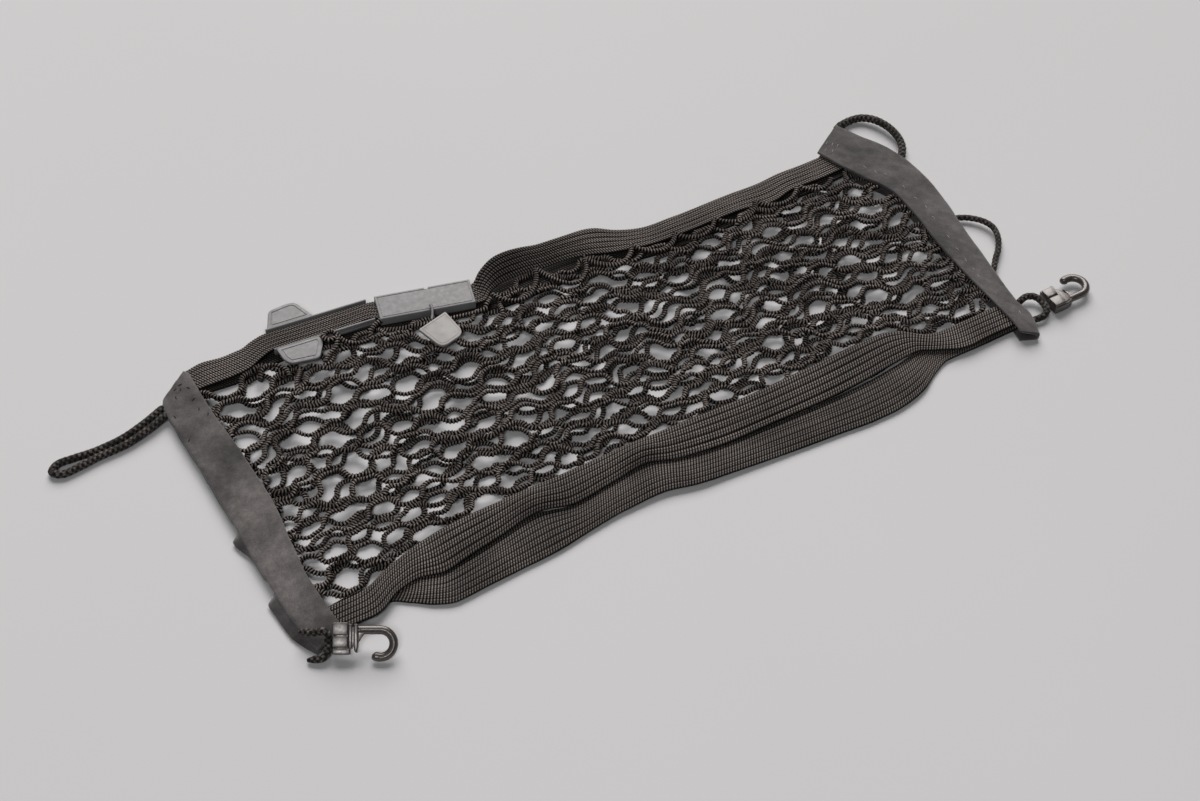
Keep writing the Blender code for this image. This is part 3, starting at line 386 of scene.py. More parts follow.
def tubes_piece(name, node, look, tubes):
    """A piece of capped tubes: each has its rings of plan points and its weave's coordinates.

    The weave counts across at each side of a ring and one more, and along at each ring. It
    is None for a look without a weave.
    """
    points, quads, caps, uv = [], [], [], []
    first = 0
    for rings, weave in tubes:
        count, sides = rings.shape[:2]
        i, j = np.meshgrid(np.arange(count - 1), np.arange(sides), indexing="ij")
        ring, after = first + i * sides, (j + 1) % sides
        faces = np.stack([ring + j, ring + after, ring + sides + after, ring + sides + j], -1)
        quads += faces.reshape(-1, 4).tolist()
        if weave:
            (u0, u1), (v0, v1) = ((line[k], line[k + 1]) for line, k in zip(weave, (j, i)))
            uv.append(np.stack([u0, v0, u1, v0, u1, v1, u0, v1], axis=-1).reshape(-1))
        last = first + (count - 1) * sides
        caps += [list(range(first, first + sides)), list(range(last, last + sides))]
        points.append(rings.reshape(-1, 3))
        first += count * sides
    mesh = bpy.data.meshes.new(name)
    mesh.from_pydata(world(np.vstack(points)).tolist(), [], quads + caps)
    if uv:
        full = np.zeros(2 * len(mesh.loops), dtype=np.float32)
        full[:8 * len(quads)] = np.concatenate(uv)
        mesh.uv_layers.new(name="weave").data.foreach_set("uv", full)
    shape = bmesh.new()
    shape.from_mesh(mesh)
    bmesh.ops.recalc_face_normals(shape, faces=shape.faces)
    shape.to_mesh(mesh)
    shape.free()
    mesh.shade_smooth()
    mesh.materials.append(look)
    piece = add_object(name, mesh)
    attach(piece, "root")
    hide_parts(node)
    return piece


def walk(places):
    """How far along a polyline each of its places lies."""
    steps = np.linalg.norm(np.diff(places, axis=0), axis=1)
    return np.concatenate([[0.0], np.cumsum(steps)])


def read_at(distance, walked, places):
    """Places of a polyline at given distances along it."""
    return np.stack([np.interp(distance, walked, line) for line in places.T], axis=1)


def catmull(points, step):
    """Points at even steps on a smooth curve through a route, with their distances."""
    places = np.asarray(points, dtype=float)
    padded = np.vstack([2 * places[0] - places[1], places, 2 * places[-1] - places[-2]])
    share = np.linspace(0.0, 1.0, SPAN_STEPS, endpoint=False)[:, None]
    fine = []
    for index in range(1, len(padded) - 2):
        before, start, end, after = padded[index - 1:index + 3]
        fine.append(0.5 * (2 * start + (end - before) * share
                           + (2 * before - 5 * start + 4 * end - after) * share ** 2
                           + (3 * start - before - 3 * end + after) * share ** 3))
    fine = np.vstack(fine + [places[-1:]])
    walked = walk(fine)
    distance = np.linspace(0.0, walked[-1], max(4, round(walked[-1] / step)) + 1)
    return read_at(distance, walked, fine), distance


def column_at(x, rows, column):
    return np.interp(x, [row[0] for row in rows], [row[column] for row in rows])


def smooth_column(rows, column, x):
    """One column of a table, read at x along a smooth curve through its rows."""
    table = np.asarray(rows, dtype=float)
    xs, values = table[:, 0], table[:, column]
    slopes = np.gradient(values, xs)
    secants = np.diff(values) / np.diff(xs)
    # a slope of nought at each turning point keeps the curve from overshooting
    turning = np.concatenate([[True], secants[:-1] * secants[1:] <= 0.0, [True]])
    slopes[turning] = 0.0
    index = np.clip(np.searchsorted(xs, x) - 1, 0, len(xs) - 2)
    width = xs[index + 1] - xs[index]
    t = np.clip((x - xs[index]) / width, 0.0, 1.0)
    return ((1 + 2 * t) * (1 - t) ** 2 * values[index]
            + t * (1 - t) ** 2 * width * slopes[index]
            + t * t * (3 - 2 * t) * values[index + 1]
            + t * t * (t - 1) * width * slopes[index + 1])


def ripple(x, y, salt):
    """A slow, repeatable unevenness between about -1 and 1."""
    return (np.sin(x * 0.131 + salt) * np.cos(y * 0.173 + 1.7 * salt)
            + 0.6 * np.sin(x * 0.057 + y * 0.083 + 2.3 * salt)
            + 0.4 * np.cos(x * 0.31 - y * 0.23 + 0.7 * salt)) / 1.6


def ring_angles(sides):
    return (np.arange(sides) + 0.5) / sides * 2 * math.pi


def swept(route, width, thick, sides, roll=0.0, scale=1.0, shift=None):
    """Rings of points round a route: an ellipse that scale and shift make uneven."""
    ahead = np.gradient(route, axis=0)
    ahead /= np.linalg.norm(ahead, axis=1)[:, None]
    side = np.cross(np.array([0.0, 0.0, 1.0]), ahead)
    flat = np.linalg.norm(side, axis=1)[:, None]
    side = np.where(flat > 1e-3, side / np.maximum(flat, 1e-3), np.array([1.0, 0.0, 0.0]))
    up = np.cross(ahead, side)
    over = np.cos(ring_angles(sides)) * width / 2 * scale
    rise = np.sin(ring_angles(sides)) * thick / 2 * scale
    turn = np.broadcast_to(np.asarray(roll, dtype=float), (len(route),))[:, None]
    across = over * np.cos(turn) - rise * np.sin(turn)
    upward = over * np.sin(turn) + rise * np.cos(turn)
    points = (route[:, None, :] + across[..., None] * side[:, None, :]
              + upward[..., None] * up[:, None, :])
    if shift is not None:
        points = points + shift[..., None] * ahead[:, None, :]
    return points


# --- materials

def scaled(colour, factor):
    return tuple(factor * part for part in colour)


class Nodes:
    """Short calls for a material's nodes."""

    def __init__(self, name):
        self.material = bpy.data.materials.new(name)
        self.material.use_nodes = True
        self.tree = self.material.node_tree
        self.shader = self.tree.nodes["Principled BSDF"]

    def feed(self, socket, value):
        """Link an output to a socket, or set the socket to a constant."""
        if isinstance(value, bpy.types.NodeSocket):
            self.tree.links.new(value, socket)
        else:
            socket.default_value = (*value, 1.0) if isinstance(value, tuple) else value

    def add(self, kind, inputs=(), output=0, **settings):
        node = self.tree.nodes.new(kind)
        for key, value in settings.items():
            setattr(node, key, value)
        for key, value in dict(inputs).items():
            self.feed(node.inputs[key], value)
        return node.outputs[output]

    def math(self, operation, first, second=0.0):
        return self.add("ShaderNodeMath", {0: first, 1: second}, operation=operation)

    def times(self, first, *factors):
        for factor in factors:
            first = self.math("MULTIPLY", first, factor)
        return first

    def wave(self, value, turns=1.0):
        """A cosine with so many turns to each unit of the value."""
        return self.math("COSINE", self.times(value, 2 * math.pi * turns))

    def humps(self, value, count=1.0):
        """Humps from nought to one and back, so many to each unit of the value."""
        return self.math("ABSOLUTE", self.math("SINE", self.times(value, math.pi * count)))

    def noise(self, scale, detail, rough=0.5):
        inputs = {"Scale": scale, "Detail": detail, "Roughness": rough}
        inputs["Vector"] = self.add("ShaderNodeTexCoord", output="Object")
        return self.add("ShaderNodeTexNoise", inputs)

    def weave(self):
        """The weave's coordinates of a soft piece: across or around, and along."""
        split = self.add("ShaderNodeSeparateXYZ", {0: self.add("ShaderNodeUVMap", uv_map="weave")})
        return split, split.node.outputs[1]

    def ramp(self, value, *stops):
        """Colours by value: each stop is a position and a linear colour."""
        colour = self.add("ShaderNodeValToRGB", {0: value})
        elements = colour.node.color_ramp.elements
        while len(elements) < len(stops):
            elements.new(0.5)
        for element, (position, tone) in zip(elements, stops):
            element.position = position
            element.color = (*tone, 1.0)
        return colour

    def mix(self, share, first, second, blend="MIX"):
        return self.add("ShaderNodeMix", {0: share, 6: first, 7: second}, 2, data_type="RGBA",
                        blend_type=blend)

    def span(self, value, *limits):
        """A value moved from one span to another: low, high, new low and new high."""
        return self.add("ShaderNodeMapRange", dict(enumerate((value, *limits))))

    def finish(self, colour, roughness, height, relief, strength, **constants):
        """Feed the shader; height, relief and strength are the bump's."""
        bump = self.add("ShaderNodeBump",
                        {"Strength": strength, "Distance": relief, "Height": height})
        sockets = {"Base Color": colour, "Roughness": roughness, "Normal": bump, **constants}
        for key, value in sockets.items():
            self.feed(self.shader.inputs[key.replace("_", " ")], value)
        return self.material

    def textile(self, value, fibre, tones, knee, smoothest, *bump, **constants):
        """A weave from its dark gaps to its pale floats, with fibres standing off it."""
        light, dark = tones
        position, share = knee
        colour = self.ramp(value, (0.0, dark), (position, scaled(light, share)), (1.0, light))
        rough = self.span(fibre, 0.3, 0.7, smoothest, 0.9)
        return self.finish(colour, rough, fibre, *bump, **constants)


def yarn_material(name, *tones):
    """Braided yarn: pale beads and dark gaps, as the weave coordinates count them, and painted
    shade on its sides and underside.
    """
    nodes = Nodes(name)
    around, along = nodes.weave()
    fibre = nodes.noise(900.0, 3.0, 0.6)
    # the third factor is painted shade: it darkens the yarn round its sides and underside, away
    # from its top
    value = nodes.times(
        nodes.span(nodes.wave(along), -0.1, 0.95, 0.0, 1.0),
        nodes.span(nodes.wave(around, YARN_SIDES / 2), -1.0, 0.6, 0.6, 1.0),
        nodes.span(nodes.wave(nodes.math("SUBTRACT", around, 0.25)), -0.1, 0.75, 0.22, 1.0),
        nodes.span(fibre, 0.3, 0.7, 0.45, 1.25),
        nodes.span(nodes.noise(55.0, 2.0), 0.35, 0.65, 0.7, 1.15))
    return nodes.textile(value, fibre, tones, (0.35, 0.3), 0.62, 0.0002, 0.5,
                         Specular_IOR_Level=0.03)


def cord_material(name, *tones):
    """Frayed braid: short crossing floats with fibres standing off them."""
    nodes = Nodes(name)
    around, along = nodes.weave()
    plaits = nodes.times(nodes.wave(along), nodes.wave(around, CORD_PLAITS))
    fibre = nodes.noise(1000.0, 3.0, 0.65)
    value = nodes.times(nodes.span(plaits, -0.35, 0.5, 0.0, 1.0),
                        nodes.span(fibre, 0.35, 0.7, 0.2, 1.3))
    value = nodes.math("ADD", value, nodes.span(fibre, 0.55, 0.75, 0.0, 0.35))
    patch = nodes.noise(170.0, 3.0, 0.6)
    value = nodes.times(value, nodes.span(patch, 0.35, 0.6, 0.25, 1.15))
    return nodes.textile(value, fibre, tones, (0.35, 0.3), 0.65, 0.0003, 0.6,
                         Sheen_Weight=0.08, Specular_IOR_Level=0.15)


def webbing_material(name, *tones):
    """Ribbed webbing: rows of slanting dashes in pairs, with a dark groove between pairs."""
    nodes = Nodes(name)
    across, along = nodes.weave()
    step = nodes.times(nodes.math("FLOOR", across), 0.5)
    inside = nodes.times(nodes.math("FRACT", across), 0.45)
    phase = nodes.math("ADD", nodes.math("ADD", along, step), inside)
    fibre = nodes.noise(1100.0, 3.0, 0.6)
    pressed = nodes.noise(26.0, 2.0)
    value = nodes.times(
        nodes.span(nodes.humps(across), 0.15, 0.75, 0.1, 1.0),
        nodes.span(nodes.wave(phase), -0.25, 0.9, 0.0, 1.0),
        nodes.math("POWER", nodes.humps(across, 0.5), nodes.span(pressed, 0.35, 0.65, 0.15, 1.3)),
        nodes.span(fibre, 0.3, 0.7, 0.6, 1.2),
        nodes.span(nodes.noise(40.0, 2.0), 0.35, 0.65, 0.8, 1.1))
    return nodes.textile(value, fibre, tones, (0.3, 0.35), 0.65, 0.0002, 0.4,
                         Sheen_Weight=0.03, Specular_IOR_Level=0.12)


def suede_material(name, pale, deep):
    """Brushed synthetic: mottled, with a fine nap."""
    nodes = Nodes(name)
    blotch = nodes.noise(38.0, 6.0, 0.62)
    speck = nodes.noise(260.0, 4.0, 0.7)
    nap = nodes.noise(1500.0, 3.0, 0.65)
    between = tuple((a + b) / 2 for a, b in zip(pale, deep))
    colour = nodes.ramp(blotch, (0.34, deep), (0.5, between), (0.65, pale))
    dust = nodes.ramp(speck, (0.25, (0.55, 0.55, 0.55)), (0.55, (1.0, 1.0, 1.0)),
                      (0.8, (1.35, 1.32, 1.3)))
    colour = nodes.mix(0.85, colour, dust, "MULTIPLY")
    fine = nodes.ramp(nap, (0.25, (0.6, 0.6, 0.6)), (0.75, (1.3, 1.3, 1.3)))
    colour = nodes.mix(0.9, colour, fine, "MULTIPLY")
    height = nodes.math("ADD", nodes.times(speck, 0.6), nap)
    return nodes.finish(colour, nodes.span(blotch, 0.3, 0.7, 0.8, 0.95), height, 0.0004, 0.55,
                        Sheen_Weight=0.35, Sheen_Roughness=0.5, Specular_IOR_Level=0.3)


def plastic_material(name, colour, worn, roughness, grain_scale, relief, **constants):
    """Moulded plastic: a fine spark-eroded grain, faint clouds and light wear."""
    nodes = Nodes(name)
    cloud = nodes.noise(60.0, 4.0, 0.6)
    grain = nodes.noise(grain_scale, 2.0, 0.5)
    scuff = nodes.noise(340.0, 5.0, 0.75)
    base = nodes.mix(nodes.span(cloud, 0.35, 0.65, 0.0, 1.0), scaled(colour, 0.88),
                     scaled(colour, 1.1))
    base = nodes.mix(nodes.span(scuff, 0.58, 0.72, 0.0, 0.6), base, worn)
    rough = nodes.span(scuff, 0.35, 0.7, roughness, roughness + 0.22)
    return nodes.finish(base, rough, grain, relief, 0.5, **constants)


def thread_material(name, colour):
    nodes = Nodes(name)
    twist = nodes.noise(1800.0, 2.0, 0.6)
    tone = nodes.ramp(twist, (0.3, scaled(colour, 0.55)), (0.7, colour))
    return nodes.finish(tone, 0.75, twist, 0.0001, 0.4)


def floor_material(name):
    nodes = Nodes(name)
    tone = nodes.ramp(nodes.noise(1.3, 3.0), (0.3, (0.60, 0.588, 0.594)),
                      (0.7, (0.63, 0.618, 0.624)))
    return nodes.finish(tone, 0.62, nodes.noise(700.0, 2.0), 0.00003, 0.3,
                        Specular_IOR_Level=0.25)


WEB_GAP = (0.004, 0.0037, 0.0034)
YARN_LOOK = yarn_material("yarn_braid", (0.345, 0.292, 0.268), (0.002, 0.0018, 0.0017))
WEB_LOOK = webbing_material("webbing_weave", (0.37, 0.315, 0.288), WEB_GAP)
# painted shade: the same webbing made darker for the near lower band, which lies in the upper
# band's shade
WEB_LOWER_SHADED_LOOK = webbing_material("webbing_lower", (0.315, 0.268, 0.245), WEB_GAP)
# painted shade: the same webbing made much darker for the far lower band, which lies in the shadow
# of the far band's arch
WEB_SHADED_UNDER_LOOK = webbing_material("webbing_under_painted_shade", (0.10, 0.085, 0.078), WEB_GAP)
SUEDE_LOOK = suede_material("binding_suede", (0.158, 0.141, 0.137), (0.038, 0.033, 0.032))
# painted shade: the same suede made darker for the right binding, which would otherwise catch more
# of the light
SUEDE_SHADED_LOOK = suede_material("binding_suede_painted_shade", (0.118, 0.105, 0.102),
                                 (0.030, 0.026, 0.025))
CORD_LOOK = cord_material("cord_braid", (0.17, 0.145, 0.132), (0.006, 0.0055, 0.005))
HOOK_LOOK = plastic_material("hook_gloss", (0.060, 0.052, 0.048), (0.11, 0.096, 0.09),
                             0.20, 1400.0, 0.000008, IOR=1.5, Specular_IOR_Level=1.0,
                             Specular_Tint=(1.0, 0.93, 0.9))
CLIP_LOOK = plastic_material("clip_satin", (0.203, 0.195, 0.197), (0.265, 0.256, 0.256),
                             0.42, 1700.0, 0.00003)
TAB_LOOK = plastic_material("tab_satin", (0.395, 0.372, 0.357), (0.25, 0.235, 0.225),
                            0.5, 900.0, 0.00005)
THREAD_LOOK = thread_material("thread_pale", (0.34, 0.32, 0.30))
DARK_THREAD_LOOK = thread_material("thread_dark", (0.02, 0.018, 0.017))


# --- cords

def braided_cord(name, node, points, diameter, salt):
    """A limp round cord of crossing plaits, a little frayed, its ends tucked away."""
    places = np.array(points)
    first, last = (end + (end - inner) / np.linalg.norm(end - inner) * TUCKED
                   for end, inner in ((places[0], places[1]), (places[-1], places[-2])))
    route, distance = catmull([first, *places, last], CORD_PITCH / 8)
    turns = distance[:, None] / CORD_PITCH * 2 * math.pi
    weave = np.cos(turns) * np.cos(CORD_PLAITS * ring_angles(CORD_SIDES))
    frayed = np.random.default_rng(salt).uniform(-1.0, 1.0, weave.shape)
    # the ends are drawn together inside the binding
    from_end = np.minimum(distance, distance[-1] - distance)[:, None]
    held = 0.5 + 0.5 * np.clip(from_end / TUCKED, 0.0, 1.0)
    scale = (0.93 + 0.085 * weave + 0.03 * frayed) * held
    rings = swept(route, diameter, diameter, CORD_SIDES, scale=scale)
    around = np.arange(CORD_SIDES + 1) / CORD_SIDES
    piece = tubes_piece(name, node, CORD_LOOK,
                        [(rings, (around, distance / CORD_PITCH))])
    path, _ = catmull(points, PATH_STEP)


# --- webbing

def webbing(name, node, rows, ribs, per_rib, per_tooth, flat, creases, look):
    """A band of ribbed elastic webbing on its solid's form.

    creases are rows of x start, x end, share across at each, depth and width: deeper
    furrows between two ribs where the band buckles.
    """
    x = np.linspace(rows[0][0], rows[-1][0], WEB_SAMPLES)
    middle_y = (smooth_column(rows, 1, x) + smooth_column(rows, 4, x)) / 2
    walked = walk(np.column_stack([x, middle_y]))
    along = np.linspace(0.0, walked[-1], round(walked[-1] / TOOTH * per_tooth) + 1)
    x = np.interp(along, walked, x)
    inner_y, inner_z, crown, outer_y, outer_z = (smooth_column(rows, column, x)[:, None]
                                                 for column in range(1, 6))
    count = ribs * per_rib + 1
    share = np.linspace(0.0, 1.0, count)[None, :]
    rib_index = np.floor(np.minimum(share * ribs, ribs - 0.001))
    phase = along[:, None] / TOOTH + 0.5 * rib_index + 0.35 * ((share * ribs) % 1.0)
    tooth = 0.5 + 0.5 * np.cos(2 * math.pi * phase)
    rib = np.abs(np.sin(math.pi * share * ribs)) ** 0.7
    pair = np.abs(np.sin(math.pi * share * ribs / 2)) ** 0.6
    lift = RIB_HEIGHT * (0.5 * rib * (0.4 + 0.6 * tooth) + 0.75 * pair - 0.25)
    for start, end, share_start, share_end, depth, width in creases:
        t = np.clip((x - start) / (end - start), 0.0, 1.0)[:, None]
        fade = np.sin(math.pi * t) ** 0.5
        away = (share - (share_start + t * (share_end - share_start))) / width
        lift = lift - depth * fade * np.exp(-away ** 2)

    slope_y = outer_y - inner_y
    slope_z = outer_z - inner_z + 4.0 * crown * (1.0 - 2.0 * share)
    length = np.hypot(slope_y, slope_z)
    sign = np.sign(slope_y)
    base_y = inner_y + share * slope_y
    base_z = inner_z + share * (outer_z - inner_z) + 4.0 * crown * share * (1.0 - share)

    def surface(distance):
        y = base_y - sign * slope_z / length * distance
        z = base_z + sign * slope_y / length * distance
        return np.stack([np.broadcast_to(x[:, None], y.shape), y, z], axis=-1)

    top = surface(WEB_THICK / 2 - 0.25 + lift)
    edge_tooth = EDGE_TOOTH * (0.5 + 0.5 * np.cos(2 * math.pi * along / TOOTH))
    top[:, 0, 1] -= sign[:, 0] * edge_tooth
    top[:, -1, 1] += sign[:, 0] * edge_tooth
    under = surface(-WEB_THICK / 2 - 0.05 * (rib - 1.0))[:, ::-per_rib]
    under[:, :, 2] = np.maximum(under[:, :, 2], LAID_Z)
    across = np.concatenate([np.linspace(0, ribs, count), np.linspace(ribs, 0, under.shape[1]),
                             [0.0]])
    piece = tubes_piece(name, node, look,
                        [(np.concatenate([top, under], axis=1), (across, along / TOOTH))])


# --- binding

def strip_rows(rows):
    """The rows of a binding's table, read smoothly at even steps from end to end."""
    table = np.asarray(rows, dtype=float)
    walked = walk(table[:, :2])
    keyed = np.column_stack([walked, table])
    at = np.linspace(0.0, walked[-1], STRIP_SECTIONS)
    return at, [smooth_column(keyed, column, at) for column in range(1, 8)]


def binding(name, node, rows, flat, salt, dents, look):
    """A folded strip of brushed cloth, uneven as such cloth lies.

    dents are rows of a distance from the far end, a share across, a radius and a depth.
    """
    at, (mouth_x, mouth_y, fold_x, fold_y, fold_z, under_z, peek) = strip_rows(rows)
    half = LEAF / 2
    width = np.hypot(fold_x - mouth_x, fold_y - mouth_y)
    dir_x, dir_y = (fold_x - mouth_x) / width, (fold_y - mouth_y) / width
    middle_z = (MOUTH_Z + fold_z) / 2 + LEAF_CROWN
    tip = width + peek

    def leaf_z(t):
        """The top leaf's height at a share of its way from mouth to fold."""
        return (MOUTH_Z * (1 - t) * (1 - 2 * t) + middle_z * 4 * t * (1 - t)
                + fold_z * t * (2 * t - 1))

    # the section as distances from the mouth and heights: over the top leaf, round the
    # fold, along the under leaf and back inside
    ring = []
    for share in np.linspace(0.0, 1.0, LEAF_POINTS):
        distance = (width - FOLD_BACK) * share
        uneven = (0.22 * ripple(at * 1.3, distance * 3.1, salt)
                  + 0.10 * ripple(at * 4.1, distance * 5.3, salt + 3))
        for spot, place, radius, depth in dents:
            away = ((at - spot) ** 2 + (distance - place * width) ** 2) / radius ** 2
            uneven = uneven - depth * np.exp(-away)
        ring.append((distance, leaf_z(share) + half + uneven * min(1.0, 6.0 * share + 0.3)))
    wave = 0.35 * np.sin(at / 7.0 + salt) + 0.25 * np.sin(at / 3.1 + 2 * salt)
    # the fold stands open, but closes up towards the near end
    open_fold = np.clip((at[-1] - at) / CLOSING, 0.0, 1.0)
    ring += [(width - 0.25 + 0.3 * wave, fold_z + 0.25 * half), (width, fold_z - half / 2),
             (width - 1.0 * open_fold, (fold_z + under_z) / 2 + 0.3 * open_fold),
             (tip + 0.4 * wave, under_z + half), (tip + 0.4 * wave, under_z),
             (tip - FOLD_BACK / 2, under_z - half), (0.8 * width, 0.25 * (under_z - half))]
    ring += [(share * width, CLOTH_Z) for share in (FLAT_SHARE, 0.4, 0.2, 0.0)]
    ring += [(share * width, LEAF) for share in (0.0, 0.3, FLAT_SHARE)]
    ring += [(width - 2 * FOLD_BACK, under_z + half), (width - 1.5 * FOLD_BACK, fold_z - LEAF)]
    ring += [((width - 2.5 * FOLD_BACK) * share, leaf_z(share) - half)
             for share in (1.0, 0.75, 0.5, 0.25, 0.0)]
    points = [np.stack(np.broadcast_arrays(mouth_x + dir_x * distance, mouth_y + dir_y * distance,
                                           np.maximum(z, CLOTH_Z)), axis=-1)
              for distance, z in ring]
    piece = tubes_piece(name, node, look, [(np.stack(points, axis=1), None)])
    return piece


# --- mesh fabric

def scatter(i, j, salt):
    """The part's repeatable value between -1 and 1 for one joint of the mesh."""
    return 2.0 * ((math.sin(i * 12.9898 + j * 78.233 + salt * 37.719) * 43758.5453) % 1.0) - 1.0


LEFT_MOUTH, RIGHT_MOUTH = ([(-row[1], row[0]) for row in rows]
                           for rows in (STRIP_LEFT, STRIP_RIGHT))


def net_ends(y):
    """Where the mesh ends inside the left and the right binding."""
    return (column_at(-y, LEFT_MOUTH, 1) - NET_END_INSET,
            column_at(-y, RIGHT_MOUTH, 1) + NET_END_INSET)


@dataclasses.dataclass
class Layer:
    """One layer of mesh, as the part lays it: where its edges run and how high it lies.

    near and far are rows of x, y and z of its edges; pressed has rows of x, y, radius and
    depth where something on the layer holds it down.
    """

    salt: int
    near: list
    far: list
    middle_z: float
    waves: float
    end_z: float
    pressed: tuple = ()

    def across(self, x, share):
        near_y = column_at(x, self.near, 1)
        return near_y + (column_at(x, self.far, 1) - near_y) * share

    def plan(self, u, v):
        """The place of the lattice at column u and level v."""
        share = v / LEVELS
        x = (u - COLUMNS / 2) * CELL
        for _ in range(2):
            left, right = net_ends(self.across(x, share))
            x = left + (right - left) * u / COLUMNS
        y = self.across(x, share)
        calm = math.sin(math.pi * share) ** 0.5 if 0 < v < LEVELS else 0.0
        held = min(1.0, 2.0 * min(u, COLUMNS - u) / 3.0)
        seed_u = round(u * 40)
        seed_v = round(v * 4)
        x += held * (JITTER * scatter(seed_u, seed_v, self.salt)
                     + DRIFT * calm * math.sin(x / 31.0 + y / 19.0 + 2.0 * self.salt))
        y += calm * (JITTER * scatter(seed_v, seed_u, self.salt + 5)
                     + DRIFT * math.sin(x / 24.0 - y / 33.0 + 3.1 * self.salt))
        return np.array([x, y])

    def rise(self, x, y):
        """The height of the layer's middle at a place of the plan."""
        near_y, near_z = (column_at(x, self.near, c) for c in (1, 2))
        far_y, far_z = (column_at(x, self.far, c) for c in (1, 2))
        wave = np.sin(x / WAVE_X + self.salt) * np.cos(y / WAVE_Y + x / WAVE_SKEW)
        base = self.middle_z + self.waves * wave
        from_near = np.exp(-np.maximum(y - near_y, 0.0) / EDGE_REACH)
        from_far = np.exp(-np.maximum(far_y - y, 0.0) / EDGE_REACH)
        z = base + (near_z - base) * from_near + (far_z - base) * from_far
        for spot_x, spot_y, radius, depth in self.pressed:
            away = ((x - spot_x) ** 2 + (y - spot_y) ** 2) / radius ** 2
            z = z - depth * np.exp(-away)
        left, right = net_ends(y)
        nearest_end = np.maximum(np.minimum(x - left, right - x) - NET_END_INSET, 0.0)
        held = np.exp(-(nearest_end / END_REACH) ** 2)
        return np.maximum(z + (self.end_z - z) * held, YARN_Z)


def yarn_route(layer, row):
    """The way of one yarn from binding to binding, and where along it each joint lies."""
    half = JOINT / 2 / CELL
    stops = []
    for step in range(2 * COLUMNS + 1):
        column = step / 2
        upper = (step + row) % 2 == 1
        level = row if upper else row - 1
        side = 0.0 if level in (0, LEVELS) else (-PAIR_OFFSET if upper else PAIR_OFFSET)
        start = layer.plan(max(column - half, 0.0), level)
        end = layer.plan(min(column + half, COLUMNS), level)
        along = (end - start) / max(np.linalg.norm(end - start), 1e-6)
        normal = np.array([-along[1], along[0]])
        stops.append((start + normal * side, end + normal * side, step, level))
    places, joints = [], []
    for (start, end, step, level), following in zip(stops, stops[1:] + [None]):
        joints.append((step, level, len(places)))
        places += [start, (start + end) / 2, end]
        if following is None:
            continue
        run = following[0] - end
        normal = np.array([-run[1], run[0]]) / max(np.linalg.norm(run), 1e-6)
        curl = CURL * scatter(step * 7, row * 13, layer.salt + 21)
        bow = CURL * scatter(step * 20, (2 * row - 1) * 2, layer.salt + 9)
        places += [end + run * 0.33 + normal * (0.8 * bow + curl),
                   end + run * 0.67 + normal * (0.8 * bow - curl)]
    return np.array(places), joints


def resampled(places, spacing):
    """Even points on a polyline, and the number of the point nearest to each corner."""
    walked = walk(places)
    count = round(walked[-1] / spacing) + 1
    route = read_at(np.linspace(0.0, walked[-1], count), walked, places)
    return route, np.round(walked / walked[-1] * (count - 1)).astype(int)


def pull(points, first, second, wanted, share, only_apart=False):
    """Move pairs of points a share of the way to their wanted distance."""
    between = points[second] - points[first]
    length = np.maximum(np.linalg.norm(between, axis=1), 1e-6)
    excess = length - wanted
    if only_apart:
        excess = np.minimum(excess, 0.0)
    move = between * (0.5 * share * excess / length)[:, None]
    np.add.at(points, first, move)
    np.add.at(points, second, -move)


def touching(points, order, chain):
    """Pairs of points that are near each other but not neighbours on one yarn."""
    tree = kdtree.KDTree(len(points))
    for index, point in enumerate(points):
        tree.insert(point, index)
    tree.balance()
    pairs = []
    for index, point in enumerate(points):
        for _, other, _ in tree.find_range(point, PAIR_REACH):
            if other > index and (chain[other] != chain[index]
                                  or abs(order[other] - order[index]) > 3):
                pairs.append((index, other))
    return np.array(pairs)


